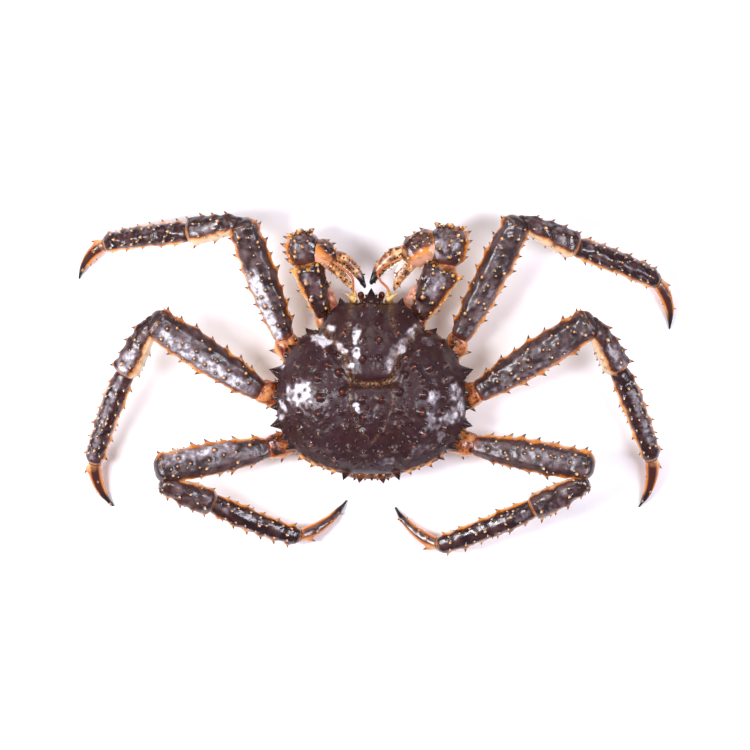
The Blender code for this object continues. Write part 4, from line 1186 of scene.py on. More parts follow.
def along_tube(item, points):
    """Stores how far along a line of points each vertex lies."""
    at = mesh_points(item)
    gaps = np.linalg.norm(at[:, None, :] - np.asarray(points)[None, :, :], axis=2)
    place = gaps.argmin(axis=1) / (len(points) - 1)
    store(item, "extra", place)


def antenna(name):
    """One feeler: stout jointed root pieces, then a whip of short rings."""
    t = np.linspace(0, 1, 240)
    line = along(ANTENNAE[name], t)
    run = distance_along(line)
    whip = smooth_step(0.24, 0.3, t)
    radii = along(ANTENNA_RADII, t) * (1 + 0.09 * whip * np.sin(run * math.tau / WHIP_RING))
    radii *= pinched(t, (0.09, 0.17, 0.24), 0.24, 0.008)
    radii *= rounded_end(run, 3.0, 0.35) * rounded_end(run[-1] - run, 1.4, 0.25)
    item = lofted(name + "_skin", tube_rings(line, radii, 20))
    sign = 1 if "right" in name else -1
    scale_root = Vector((sign * 18.2, 83.6, 43.0))
    way = Vector((sign * 0.82, 0.42, 0.25)).normalized()
    spines = [Spine(scale_root - way * 2.0, way, FORWARDS, 9.0, 2.3, 0.25)]
    inner = Vector((sign * 14.5, 86.0, 45.0))
    spines.append(Spine(inner, Vector((0, 0.9, 0.45)).normalized(), UPWARDS, 4.2, 1.4, 0.25))
    grow_spines(item, spines)
    along_tube(item, line)
    mark_spines(item, spines)
    finish_piece(item, FEELER, name)


def eye(side, sign):
    """One eye: a stalk that swells into a glossy dark cornea."""
    ends = np.array([(sign * x, y, z) for x, y, z in EYE_STALK])
    t = np.linspace(0, 1, 30)
    line = ends[0] + (ends[1] - ends[0]) * t[:, None]
    radii = EYE_FINENESS * (EYE_RADII[0] + (EYE_RADII[1] - EYE_RADII[0]) * smooth_step(0.35, 0.6, t))
    radii -= 0.45 * np.exp(-((t - 0.5) / 0.05) ** 2)
    length = np.linalg.norm(ends[1] - ends[0])
    radii *= rounded_end((1.02 - t) * length, EYE_RADII[1], 0.0) * rounded_end(t * length, 2.0, 0.6)
    item = lofted(f"eye_{side}_skin", tube_rings(line, radii, 28))
    along_tube(item, line)
    finish_piece(item, CORNEA, f"eye_{side}")


def mouthpart(side, sign):
    """One outer jaw: a row of stout pieces folded under the front of the body."""
    count, sides = 90, 36
    t = np.linspace(0, 1, count)
    line = along([(sign * x, y, z) for x, y, z in JAW], t)
    run = distance_along(line)
    radii = along(JAW_RADII, t) * pinched(t, (0.3, 0.58, 0.8), 0.16, 0.014)
    radii *= rounded_end(run, 3.0, 0.5) * rounded_end(run[-1] - run, 2.4, 0.3)
    rings = np.array(tube_rings(line, radii, sides))
    spread = rings - line[:, None, :]
    rings = line[:, None, :] + spread * (1 + 0.05 * rough(rings, 3.0, 11.0).reshape(count, sides, 1))
    item = lofted(f"mouthpart_{side}_skin", rings)
    spines = []
    for i, place in enumerate((0.22, 0.36, 0.5, 0.66, 0.76, 0.9)):
        k = int(place * (count - 1))
        way = Vector((sign * -0.5, 0.4 + 0.1 * i, -0.6)).normalized()
        spines.append(Spine(line[k] + np.array(way) * radii[k] * 0.9, way, FORWARDS, 2.6, 1.0, 1.0))
    grow_spines(item, spines)
    along_tube(item, line)
    mark_spines(item, spines)
    finish_piece(item, HIP, f"mouthpart_{side}")


def sternum():
    """The block of breast plates under the carapace, grooved between the limbs' roots."""
    sides, levels = 200, 34
    bearing = (np.arange(sides) + 0.5) * 360 / sides
    x, y = np.cos(np.radians(bearing)), np.sin(np.radians(bearing))
    ends = np.where(y > 0, STERNUM_SHARE_FRONT, STERNUM_SHARE_BACK)
    reach = outline_radius(bearing) * (STERNUM_SHARE_SIDES * x * x + ends * y * y)
    folded = np.where(x >= 0, bearing, 180 - bearing)
    folded = (folded + 180) % 360 - 180
    seam = np.exp(-((folded[:, None] - np.array(BREAST_SEAMS)) / 2.4) ** 2).sum(axis=1)
    top = np.full(sides, STERNUM_TOP)
    rings = [np.stack([x * reach * f, y * reach * f, top], axis=1) for f in (0.2, 0.6, 0.9)]
    for z in np.linspace(STERNUM_TOP, STERNUM_FLOOR, levels):
        share = np.interp(z, (STERNUM_FLOOR, STERNUM_FLOOR + 7, 26.0, STERNUM_TOP), (0.80, 0.97, 1.0, 0.96))
        out = reach * share - 1.4 * seam * smooth_step(STERNUM_TOP, 33.0, z)
        rings.append(np.stack([x * out, y * out, np.full(sides, z)], axis=1))
    rim = rings[-1]
    for f in np.linspace(0.975, 0.04, 26):
        ring = rim * np.array([f, f, 1.0])
        cross = np.exp(-((np.abs((ring[:, 1] + 400) % 17.0 - 8.5)) / 1.1) ** 2)
        cross += np.exp(-(ring[:, 0] / 1.3) ** 2)
        ring[:, 2] = STERNUM_FLOOR + 1.1 * np.clip(cross, 0, 1) + 0.25 * rough(ring, 5.0, 21.0)
        rings.append(ring)
    item = lofted("sternum_skin", rings)
    at = mesh_points(item)
    grooves = np.exp(-((np.abs((at[:, 1] + 400) % 17.0 - 8.5)) / 1.6) ** 2)
    store(item, "zones", grooves, smooth_step(8.0, 30.0, at[:, 2]))
    finish_piece(item, BELLY, "sternum")


def plate_rings(path, steps, sides, seams):
    """Rings of a rounded plate swept along the median plane, with grooves across it at the seams."""
    t = np.linspace(0, 1, steps)
    place = along(path, t)
    groove = sum(np.exp(-((t - seam) * steps / 1.7) ** 2) for seam in seams)
    angle = (np.arange(sides) + 0.5) * math.tau / sides
    c, s = np.cos(angle), np.sin(angle)
    wide = np.sign(c) * np.abs(c) ** 0.62
    deep = 0.5 + 0.5 * np.sign(s) * np.abs(s) ** 0.55
    rings = []
    for k in range(steps):
        y, z, in_y, in_z, half = place[k]
        round_off = rounded_end(min(k, steps - 1 - k), 5.0, 0.6)
        inward = 0.5 + (deep - 0.5) * round_off + 0.12 * groove[k] * (deep < 0.5)
        out = wide * half * (1 - 0.03 * groove[k])
        rings.append(np.stack([out, y + in_y * inward, z + in_z * inward], axis=1))
    return np.array(rings)


def abdomen():
    """The folded flap that the crab lies on, and the segments behind the carapace that carry it."""
    rings = plate_rings(ABDOMEN_FLAP, 110, 84, (0.16, 0.31, 0.46, 0.61, 0.76, 0.9))
    rings[:, :, 0] += 0.5 * rough(rings, 5.0, 13.0).reshape(rings.shape[:2]) * np.sign(rings[:, :, 0])
    rings[:, :, 2] = np.maximum(rings[:, :, 2], 0.0)
    flap = lofted("abdomen_skin", rings)
    at = mesh_points(flap)
    grooves = np.exp(-((np.abs((at[:, 1] + 402) % 17.5 - 8.7)) / 1.5) ** 2)
    store(flap, "zones", grooves)
    finish_piece(flap, BELLY, "abdomen")
    rings = plate_rings(ABDOMEN_BASE, 50, 72, (0.34, 0.68))
    base = lofted("abdomen_base_skin", rings)
    spines = []
    for x, length in ((-10.0, 5.5), (0.5, 3.5), (10.0, 6.0)):
        way = Vector((x * 0.02, -1.0, 0.1)).normalized()
        spines.append(Spine((x, -78.5, 35.0), way, UPWARDS, length, length * 0.6, 0.35, 0.6))
    for x in (-15.0, -5.5, 5.5, 15.0):
        way = Vector((x * 0.03, -1.0, 0.2)).normalized()
        spines.append(Spine((x, -79.8, 27.0), way, UPWARDS, 2.6, 1.3, 0.35))
    grow_spines(base, spines)
    store(base, "zones", 0.66, 0.25)
    mark_spines(base, spines)
    finish_piece(base, BACK, "abdomen_base")


def finish_piece(item, material, node=None):
    """Dresses a piece, rides it on the body and hides the solid that it stands for."""
    item.data.materials.clear()
    item.data.materials.append(material)
    item.data.shade_smooth()
    item.data.set_sharp_from_angle(angle=math.radians(SHARP_EDGE))
    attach(item, "root")
    if node:
        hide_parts(node)


def add_node(tree, kind, inputs=None, stops=None, gives=0, **settings):
    """Adds one node with its settings, its inputs' values or links and, on a colour ramp, its stops.

    It gives back the first of the node's outputs, or the one that gives names.
    """
    made = tree.nodes.new("ShaderNode" + kind)
    for name, value in settings.items():
        setattr(made, name, value)
    for socket, value in (inputs or {}).items():
        target = made.inputs[socket]
        if isinstance(value, bpy.types.NodeSocket):
            tree.links.new(value, target)
        else:
            target.default_value = value
    for i, (place, colour) in enumerate(stops or ()):
        element = made.color_ramp.elements[i] if i < 2 else made.color_ramp.elements.new(place)
        element.position = place
        element.color = linear(colour)
    return made.outputs[gives]


def per_mm(size):
    """A texture's scale for features of a size in millimetres."""
    return 1.0 / (size * MM)


def new_material(name, roughness, ior, film=()):
    """A material, its nodes and its shader. film is its film of water: weight, roughness and IOR."""
    material = bpy.data.materials.new(name)
    material.use_nodes = True
    shader = material.node_tree.nodes["Principled BSDF"]
    shader.inputs["Roughness"].default_value = roughness
    shader.inputs["IOR"].default_value = ior
    for socket, value in zip(("Coat Weight", "Coat Roughness", "Coat IOR"), film):
        shader.inputs[socket].default_value = value
    return material, material.node_tree, shader


def stored(tree, name):
    """The three numbers that store has kept on the mesh under a name."""
    kept = add_node(tree, "Attribute", gives="Vector", attribute_name=name)
    return add_node(tree, "SeparateXYZ", {0: kept}).node.outputs


def paint(tree, shader, colour, layers=()):
    """Colours the shell: a ground colour, and shades laid over it in turn, each through its mask."""
    for mask, shade in layers:
        shade = linear(shade) if isinstance(shade, str) else shade
        colour = add_node(tree, "Mix", {0: mask, 6: colour, 7: shade}, data_type="RGBA", gives=2)
    tree.links.new(colour, shader.inputs["Base Color"])


def painted_sheen(tree, place, thickness):
    """Painted sheen, ragged whitish patches painted where the lamps' reflections lie: its mask and its
    colour. thickness is its strength.
    """
    patches = {"Vector": place, "Scale": per_mm(5.5), "Detail": 6.0, "Roughness": 0.62}
    patchy = add_node(tree, "TexNoise", patches)
    # thick is the painted sheen's level, made ragged by noise.
    thick = add_node(tree, "Math", {0: patchy, 1: 1.5, 2: -0.75}, operation="MULTIPLY_ADD")
    thick = add_node(tree, "Math", {0: thickness, 1: thick}, operation="ADD")
    mask = add_node(tree, "MapRange", {0: thick, 1: 0.25, 2: 0.9, 4: 0.9})
    present = add_node(tree, "MapRange", {0: thickness, 1: 0.0, 2: 0.2})
    mask = add_node(tree, "Math", {0: mask, 1: present}, operation="MULTIPLY")
    sheen_tones = ((0.40, "#6c5a5c"), (0.75, "#9c9296"), (1.0, "#e8e5e7"))
    tone = add_node(tree, "ValToRGB", {0: thick}, sheen_tones)
    return mask, tone


# A spine's colours from its foot to its tip.
PALE_SPINE = ((0.0, "#2c130c"), (0.30, "#7a3c1a"), (0.50, "#cc8a44"), (0.72, "#ecc492"), (1.0, "#f8e4c8"))
BLACK_SPINE = ((0.0, "#6e3a22"), (0.22, "#cc8430"), (0.42, "#b4601c"), (0.60, "#2a1611"), (1.0, "#120c0b"))
GOLD_SPINE = ((0.0, "#b0702e"), (0.4, "#e8b04e"), (0.7, "#c87c30"), (1.0, "#4a2412"))
# A leg's colours from the underside up to the top: cream, orange and then the dark of its face.
LEG_ROUNDING = (
    (0.22, "#e0c094"), (0.33, "#e4a048"), (0.40, "#c8701a"), (0.45, "#54240f"), (0.52, "#2c1a1c"),
)


def cuticle(name, face, mottle, rounding, rim, gloss, bare=None, fleck_size=2.4):
    """Raw crab cuticle: chitin hardened with lime as it grew, still wet.

    Under a thin film of water it is dark and satin on top, breaks into small blotches, and pales through
    orange to cream round the underside. Whitish patches of painted sheen stand in for the lamps' broad
    reflections, and painted shade darkens a ring round each spine's foot. face and mottle are the colours on
    top, rounding those from the underside up to the top, rim those of the inner end, the outer end and the
    painted shade round a spine's foot, and gloss the roughness where it is wettest and driest. bare names
    what the mesh's own mask lays bare: a claw arm's rosy facet or a palm's spotted thumb. fleck_size is the
    finest blotches' size in millimetres.
    """
    material, tree, shader = new_material(name, 0.34, 1.56, (0.4, 0.14, 1.33))
    place = add_node(tree, "TexCoord", gives="Object")
    pale, over, ends = stored(tree, "zones")
    proud, near_foot, tone = stored(tree, "spines")
    blotch = add_node(tree, "TexNoise", {"Vector": place, "Scale": per_mm(11), "Detail": 4.0})
    fleck = add_node(tree, "TexNoise", {"Vector": place, "Scale": per_mm(fleck_size), "Detail": 3.0})
    # The colours round the segment, from its underside up to the dark top with its flecks.
    leaning = add_node(tree, "Math", {0: over, 1: pale}, operation="SUBTRACT")
    ragged = add_node(tree, "Math", {0: blotch, 1: 0.7, 2: leaning}, operation="MULTIPLY_ADD")
    speckled = add_node(tree, "Math", {0: fleck, 1: 0.2, 2: ragged}, operation="MULTIPLY_ADD")
    height = add_node(tree, "Math", {0: speckled, 1: 0.4, 2: 0.2}, operation="MULTIPLY_ADD")
    colour = add_node(tree, "ValToRGB", {0: height}, rounding)
    top = add_node(tree, "MapRange", {0: height, 1: 0.46, 2: 0.54}, interpolation_type="SMOOTHSTEP")
    tonal = add_node(tree, "Math", {0: blotch, 1: 0.8, 2: -0.12}, operation="MULTIPLY_ADD")
    tonal = add_node(tree, "Math", {0: fleck, 1: 0.44, 2: tonal}, operation="MULTIPLY_ADD")
    face_tone = add_node(tree, "ValToRGB", {0: tonal}, face)
    flecked = add_node(tree, "MapRange", {0: fleck, 1: 0.52, 2: 0.74, 4: 0.7})
    flecked = add_node(tree, "Math", {0: flecked, 1: top}, operation="MULTIPLY")
    # The ends, the spines, a pale crescent near the outer end, and painted shade: dark rings round the
    # spines' feet.
    patchy = add_node(tree, "MapRange", {0: tonal, 1: 0.42, 2: 0.54, 3: 0.3, 4: 1.0})
    inner = add_node(tree, "MapRange", {0: ends, 1: -0.1, 2: -0.8})
    inner = add_node(tree, "Math", {0: inner, 1: patchy}, operation="MULTIPLY", use_clamp=True)
    outer = add_node(tree, "MapRange", {0: ends, 1: 0.2, 2: 0.7})
    outer = add_node(tree, "Math", {0: outer, 1: patchy}, operation="MULTIPLY", use_clamp=True)
    pale_spine = add_node(tree, "ValToRGB", {0: proud}, PALE_SPINE)
    black_spine = add_node(tree, "ValToRGB", {0: proud}, BLACK_SPINE)
    gold_spine = add_node(tree, "ValToRGB", {0: proud}, GOLD_SPINE)
    thorn = add_node(tree, "Mix", {0: tone, 6: pale_spine, 7: black_spine}, data_type="RGBA", gives=2)
    gold = add_node(tree, "MapRange", {0: tone, 1: -0.2, 2: -0.6})
    thorn = add_node(tree, "Mix", {0: gold, 6: thorn, 7: gold_spine}, data_type="RGBA", gives=2)
    on_spine = add_node(tree, "MapRange", {0: proud, 1: 0.10, 2: 0.34})
    crescent = add_node(tree, "Math", {0: ends, 1: 0.36, 2: 0.035}, operation="COMPARE")
    here = add_node(tree, "MapRange", {0: blotch, 1: 0.48, 2: 0.56})
    crescent = add_node(tree, "Math", {0: crescent, 1: here}, operation="MULTIPLY")
    # Painted shade round each spine's foot, on the top only.
    ring = add_node(tree, "MapRange", {0: top, 3: 0.25, 4: 1.0})
    ring = add_node(tree, "Math", {0: ring, 1: near_foot}, operation="MULTIPLY")
    # The third number is the painted sheen's strength: whitish patches that stand for the lamps' reflections.
    _, laid_bare, sheen_share = stored(tree, "extra")
    bare_layer = [(laid_bare, "#b8664c" if bare == "facet" else spotted_tan(tree, place))] if bare else []
    sheen_mask, sheen_tone = painted_sheen(tree, place, sheen_share)
    paint(tree, shader, colour, (
        (top, face_tone), (flecked, mottle), (sheen_mask, sheen_tone), (inner, rim[0]), (outer, rim[1]),
        *bare_layer, (crescent, "#c08a5c"), (ring, rim[2]), (on_spine, thorn),
    ))
    wetness = add_node(tree, "MapRange", {0: blotch, 1: 0.38, 2: 0.6, 3: gloss[0], 4: gloss[1]})
    wetness = add_node(tree, "Mix", {0: sheen_mask, 2: wetness, 3: 0.5})
    tree.links.new(wetness, shader.inputs["Roughness"])
    # Pores and grit in the surface.
    pits = add_node(tree, "TexVoronoi", {"Vector": place, "Scale": per_mm(1.6)})
    grain = add_node(tree, "Math", {0: pits, 1: 0.5, 2: fleck}, operation="MULTIPLY_ADD")
    bump = add_node(tree, "Bump", {"Height": grain, "Distance": 0.35 * MM, "Strength": 0.4})
    tree.links.new(bump, shader.inputs["Normal"])
    return material


def leg_cuticle():
    """The thigh of a leg: purple-brown, satin, with an orange to cream edge and a dark outer end."""
    return cuticle(
        "raw_crab_cuticle_thigh", ((0.40, "#251310"), (0.5, "#3d2423"), (0.60, "#543b3a")), "#20100e",
        LEG_ROUNDING, ("#7c3818", "#2a1613", "#170b09"), (0.31, 0.46),
    )


def knee_cuticle():
    """The knee piece: as the thigh, its inner half cream, with orange round its outer end."""
    return cuticle(
        "raw_crab_cuticle_knee", ((0.40, "#240f0b"), (0.5, "#3b1f1b"), (0.60, "#543733")), "#240f0b",
        ((0.16, "#e2cdb0"), (0.34, "#dcb88a"), (0.42, "#b8743a"), (0.46, "#4c1f10"), (0.52, "#2c1a1c")),
        ("#3a1a10", "#b06a30", "#170b09"), (0.22, 0.4),
    )


def shank_cuticle():
    """The shank: darker and redder, glossier, with narrow orange edges."""
    return cuticle(
        "raw_crab_cuticle_shank", ((0.40, "#1a0907"), (0.5, "#301311"), (0.60, "#4a2823")), "#1c0b09",
        LEG_ROUNDING, ("#2c120c", "#b06c34", "#120807"), (0.17, 0.34),
    )


def hip_cuticle():
    """The limbs' root pieces and the jaws: thin, knobbly, orange and cream with dark red spots."""
    return cuticle(
        "raw_crab_cuticle_hip", ((0.43, "#2a100c"), (0.49, "#8a3a14"), (0.56, "#c06c26"), (0.64, "#d89c5e")),
        "#3a160e", ((0.20, "#e0bc94"), (0.38, "#d89c62"), (0.46, "#c07034"), (0.54, "#a4582c")),
        ("#c0702c", "#c87c3c", "#34170f"), (0.26, 0.45), fleck_size=1.8,
    )


def claw_cuticle():
    """The claw's arm and wrist: as the legs, with orange round the outer ends and a bare rosy facet."""
    return cuticle(
        "raw_crab_cuticle_claw", ((0.40, "#281310"), (0.5, "#422622"), (0.60, "#5a3d3a")), "#241010",
        LEG_ROUNDING, ("#4e2216", "#ac6828", "#170b09"), (0.16, 0.4), bare="facet",
    )


def palm_cuticle():
    """The palm: rosy tan inside, going through orange to brown on its outer side, glossier than the legs."""
    return cuticle(
        "raw_crab_cuticle_palm", ((0.40, "#28120f"), (0.51, "#442724"), (0.62, "#7c4e30")), "#7a3814",
        ((0.10, "#cc9274"), (0.22, "#cc8a58"), (0.34, "#d48428"), (0.43, "#b0622a"), (0.50, "#5a2c1c")),
        ("#c07430", "#c88438", "#2c130c"), (0.2, 0.42), bare="thumb",
    )


def joint_membrane():
    """Arthrodial membrane, the soft unlimed skin of the joints: folded, pink to cream, moist."""
    material, tree, shader = new_material("arthrodial_membrane", 0.32, 1.42)
    place = add_node(tree, "TexCoord", gives="Object")
    rosy = stored(tree, "extra")[0]
    blotch = add_node(tree, "TexNoise", {"Vector": place, "Scale": per_mm(4), "Detail": 4.0})
    light = add_node(tree, "ValToRGB", {0: blotch}, ((0.38, "#a04e36"), (0.5, "#c07c60"), (0.62, "#d8a68c")))
    dark = add_node(tree, "ValToRGB", {0: blotch}, ((0.34, "#1e1010"), (0.66, "#4a2c26")))
    paint(tree, shader, dark, [(rosy, light)])
    fold = add_node(tree, "TexNoise", {"Vector": place, "Scale": per_mm(1.6), "Detail": 3.0})
    bump = add_node(tree, "Bump", {"Height": fold, "Distance": 0.4 * MM, "Strength": 0.6})
    tree.links.new(bump, shader.inputs["Normal"])
    shader.inputs["Subsurface Weight"].default_value = 0.25
    shader.inputs["Subsurface Scale"].default_value = 0.0015
    return material


def horn():
    """Toe horn: dark uncalcified chitin, amber where thin, black and hard at the tip."""
    material, tree, shader = new_material("horny_chitin_toe", 0.28, 1.56, (0.3, 0.1))
    place = add_node(tree, "TexCoord", gives="Object")
    over = stored(tree, "zones")[1]
    length = stored(tree, "extra")[0]
    proud = stored(tree, "spines")[0]
    streak = add_node(tree, "TexNoise", {"Vector": place, "Scale": per_mm(3.5), "Detail": 4.0})
    shifted = add_node(tree, "Math", {0: streak, 1: 0.25, 2: length}, operation="MULTIPLY_ADD")
    edge_stops = ((0.16, "#dca870"), (0.32, "#cb6c1e"), (0.74, "#d8841e"), (0.9, "#6a2c10"), (1.0, "#0e0a0a"))
    edge = add_node(tree, "ValToRGB", {0: shifted}, edge_stops)
    back_stops = ((0.16, "#a0663e"), (0.3, "#3a1814"), (0.7, "#421a10"), (0.86, "#1e0e0c"), (1.0, "#0c0909"))
    back = add_node(tree, "ValToRGB", {0: shifted}, back_stops)
    on_top = add_node(tree, "MapRange", {0: over, 1: 0.68, 2: 0.92}, interpolation_type="SMOOTHSTEP")
    thorn = add_node(tree, "ValToRGB", {0: proud}, BLACK_SPINE)
    on_spine = add_node(tree, "MapRange", {0: proud, 1: 0.04, 2: 0.22})
    paint(tree, shader, edge, [(on_top, back), (on_spine, thorn)])
    bump = add_node(tree, "Bump", {"Height": streak, "Distance": 0.3 * MM, "Strength": 0.5})
    tree.links.new(bump, shader.inputs["Normal"])
    return material


def spotted_tan(tree, place):
    """The fingers' own colour: tan to cream with small black spots, where tufts of bristle come out."""
    blotch = add_node(tree, "TexNoise", {"Vector": place, "Scale": per_mm(5), "Detail": 4.0})
    colour = add_node(tree, "ValToRGB", {0: blotch}, ((0.36, "#6a3616"), (0.5, "#b07038"), (0.64, "#e4b47e")))
    cells = add_node(tree, "TexVoronoi", {"Vector": place, "Scale": per_mm(2.8)})
    spots = add_node(tree, "MapRange", {0: cells, 1: 0.42, 2: 0.30})
    return add_node(tree, "Mix", {0: spots, 6: colour, 7: linear("#180d09")}, data_type="RGBA", gives=2)


def claw_finger():
    """The fingers: tan calcified cuticle with black spots, and black horn towards the tip."""
    material, tree, shader = new_material("calcified_cuticle_finger", 0.36, 1.56, (0.25, 0.15))
    place = add_node(tree, "TexCoord", gives="Object")
    pale = stored(tree, "zones")[0]
    length = stored(tree, "extra")[0]
    blotch = add_node(tree, "TexNoise", {"Vector": place, "Scale": per_mm(5), "Detail": 4.0})
    tip = add_node(tree, "Math", {0: blotch, 1: 0.35, 2: length}, operation="MULTIPLY_ADD")
    tip = add_node(tree, "MapRange", {0: tip, 1: 0.80, 2: 0.95})
    facing = add_node(tree, "MapRange", {0: pale, 1: -0.75, 2: -0.95})
    outward = add_node(tree, "MapRange", {0: length, 1: 0.25, 2: 0.5})
    edge = add_node(tree, "Math", {0: facing, 1: outward}, operation="MULTIPLY")
    paint(tree, shader, spotted_tan(tree, place), [(edge, "#1a110e"), (tip, "#120d0c")])
    grain = add_node(tree, "TexNoise", {"Vector": place, "Scale": per_mm(1.8), "Detail": 3.0})
    bump = add_node(tree, "Bump", {"Height": grain, "Distance": 0.3 * MM, "Strength": 0.5})
    tree.links.new(bump, shader.inputs["Normal"])
    return material


def tooth_lime():
    """Molars: dense white lime with little chitin, polished by use."""
    material, tree, shader = new_material("lime_molar", 0.3, 1.58)
    place = add_node(tree, "TexCoord", gives="Object")
    blotch = add_node(tree, "TexNoise", {"Vector": place, "Scale": per_mm(2.5), "Detail": 3.0})
    paint(tree, shader, add_node(tree, "ValToRGB", {0: blotch}, ((0.35, "#d8c4a8"), (0.55, "#f2ece2"))))
    return material


def back_cuticle():
    """The carapace: thick lime-hardened cuticle, satin and brown with purple clouds, tan in its creases."""
    material, tree, shader = new_material("raw_crab_cuticle_back", 0.3, 1.46, (0.08, 0.2, 1.33))
    place = add_node(tree, "TexCoord", gives="Object")
    at_margin, in_crease, under = stored(tree, "zones")
    proud, near_foot, tone = stored(tree, "spines")
    # Clouds, dark blotches and light flecks, and the tan of creases and margin.
    cloud = add_node(tree, "TexNoise", {"Vector": place, "Scale": per_mm(22), "Detail": 5.0})
    blotch = add_node(tree, "TexNoise", {"Vector": place, "Scale": per_mm(6), "Detail": 4.0})
    fleck = add_node(tree, "TexNoise", {"Vector": place, "Scale": per_mm(1.9), "Detail": 3.0})
    colour = add_node(tree, "ValToRGB", {0: cloud}, ((0.38, "#321410"), (0.5, "#341616"), (0.62, "#33191f")))
    dark = add_node(tree, "MapRange", {0: blotch, 1: 0.50, 2: 0.68, 4: 0.8})
    light = add_node(tree, "MapRange", {0: fleck, 1: 0.60, 2: 0.78, 4: 0.7})
    broken = add_node(tree, "MapRange", {0: fleck, 1: 0.40, 2: 0.66})
    crease = add_node(tree, "Math", {0: broken, 1: in_crease}, operation="MULTIPLY")
    crease_tone = add_node(tree, "ValToRGB", {0: blotch}, ((0.42, "#64401f"), (0.60, "#b8905f")))
    fringe = add_node(tree, "Math", {0: blotch, 1: at_margin}, operation="MULTIPLY")
    fringe = add_node(tree, "MapRange", {0: fringe, 1: 0.22, 2: 0.40})
    below = add_node(tree, "MapRange", {0: under, 1: 0.3, 2: 0.9})
    belly = add_node(tree, "ValToRGB", {0: blotch}, ((0.38, "#b0682c"), (0.6, "#dcb88a")))
    pale_stops = ((0.0, "#1e0b0a"), (0.4, "#4a1d14"), (0.75, "#6e3628"), (1.0, "#c48a68"))
    pale = add_node(tree, "ValToRGB", {0: proud}, pale_stops)
    black_stops = ((0.0, "#2a1513"), (0.45, "#301710"), (0.8, "#0e0908"))
    black = add_node(tree, "ValToRGB", {0: proud}, black_stops)
    orange_stops = ((0.0, "#b0682c"), (0.4, "#dca468"), (0.7, "#7a4022"), (1.0, "#150e0c"))
    orange = add_node(tree, "ValToRGB", {0: proud}, orange_stops)
    thorn = add_node(tree, "Mix", {0: tone, 6: pale, 7: black}, data_type="RGBA", gives=2)
    fringed = add_node(tree, "MapRange", {0: tone, 1: -0.2, 2: -0.6})
    thorn = add_node(tree, "Mix", {0: fringed, 6: thorn, 7: orange}, data_type="RGBA", gives=2)
    on_spine = add_node(tree, "MapRange", {0: proud, 1: 0.05, 2: 0.35})
    # Painted shade: a dark ring round each tubercle's and spine's foot.
    ring = add_node(tree, "Math", {0: near_foot, 1: 0.6}, operation="MULTIPLY")
    # The painted highlights' strength: whitish patches that stand for the lamps' reflections.
    sheen_share = stored(tree, "extra")[0]
    sheen_mask, sheen_tone = painted_sheen(tree, place, sheen_share)
    paint(tree, shader, colour, (
        (dark, "#210c10"), (light, "#50302e"), (sheen_mask, sheen_tone), (crease, crease_tone),
        (fringe, "#a8642c"), (below, belly), (ring, "#140909"), (on_spine, thorn),
    ))
    film = add_node(tree, "TexNoise", {"Vector": place, "Scale": per_mm(15), "Detail": 5.0})
    gloss = add_node(tree, "MapRange", {0: film, 1: 0.35, 2: 0.65, 3: 0.34, 4: 0.46})
    gloss = add_node(tree, "Mix", {0: sheen_mask, 2: gloss, 3: 0.5})
    gloss = add_node(tree, "Mix", {0: on_spine, 2: gloss, 3: 0.12})
    tree.links.new(gloss, shader.inputs["Roughness"])
    pits = add_node(tree, "TexVoronoi", {"Vector": place, "Scale": per_mm(1.8)})
    grain = add_node(tree, "Math", {0: pits, 1: 0.6, 2: fleck}, operation="MULTIPLY_ADD")
    bump = add_node(tree, "Bump", {"Height": grain, "Distance": 0.4 * MM, "Strength": 0.26})
    tree.links.new(bump, shader.inputs["Normal"])
    return material


def belly_cuticle():
    """The underside: thin cream cuticle, rosy tan in the grooves, moist."""
    material, tree, shader = new_material("raw_crab_cuticle_belly", 0.38, 1.52, (0.25, 0.15))
    place = add_node(tree, "TexCoord", gives="Object")
    in_groove, high_up, _ = stored(tree, "zones")
    blotch = add_node(tree, "TexNoise", {"Vector": place, "Scale": per_mm(8), "Detail": 5.0})
    fleck = add_node(tree, "TexNoise", {"Vector": place, "Scale": per_mm(2), "Detail": 3.0})
    colour = add_node(tree, "ValToRGB", {0: blotch}, ((0.3, "#c89468"), (0.48, "#e0bf96"), (0.7, "#efdcc0")))
    groove = add_node(tree, "Math", {0: in_groove, 1: 0.7}, operation="MULTIPLY")
    spots = add_node(tree, "MapRange", {0: fleck, 1: 0.58, 2: 0.72})
    upper = add_node(tree, "Math", {0: high_up, 1: 0.5}, operation="MULTIPLY")
    paint(tree, shader, colour, ((groove, "#a8623a"), (spots, "#b4784c"), (upper, "#a8623c")))
    bump = add_node(tree, "Bump", {"Height": fleck, "Distance": 0.3 * MM, "Strength": 0.5})
    tree.links.new(bump, shader.inputs["Normal"])
    return material


def feeler_cuticle():
    """The antennae: thin orange cuticle, yellow-cream at the stout root, ringed darker along the whip."""
    material, tree, shader = new_material("raw_crab_cuticle_feeler", 0.36, 1.54)
    place = add_node(tree, "TexCoord", gives="Object")
    length = stored(tree, "extra")[0]
    blotch = add_node(tree, "TexNoise", {"Vector": place, "Scale": per_mm(2.6), "Detail": 4.0})
    stops = ((0.0, "#b07c3c"), (0.2, "#dcb870"), (0.3, "#b4682c"), (0.6, "#b0541f"), (1.0, "#c07838"))
    colour = add_node(tree, "ValToRGB", {0: length}, stops)
    spots = add_node(tree, "MapRange", {0: blotch, 1: 0.55, 2: 0.68})
    paint(tree, shader, colour, [(spots, "#7a3018")])
    bump = add_node(tree, "Bump", {"Height": blotch, "Distance": 0.2 * MM, "Strength": 0.4})
    tree.links.new(bump, shader.inputs["Normal"])
    return material


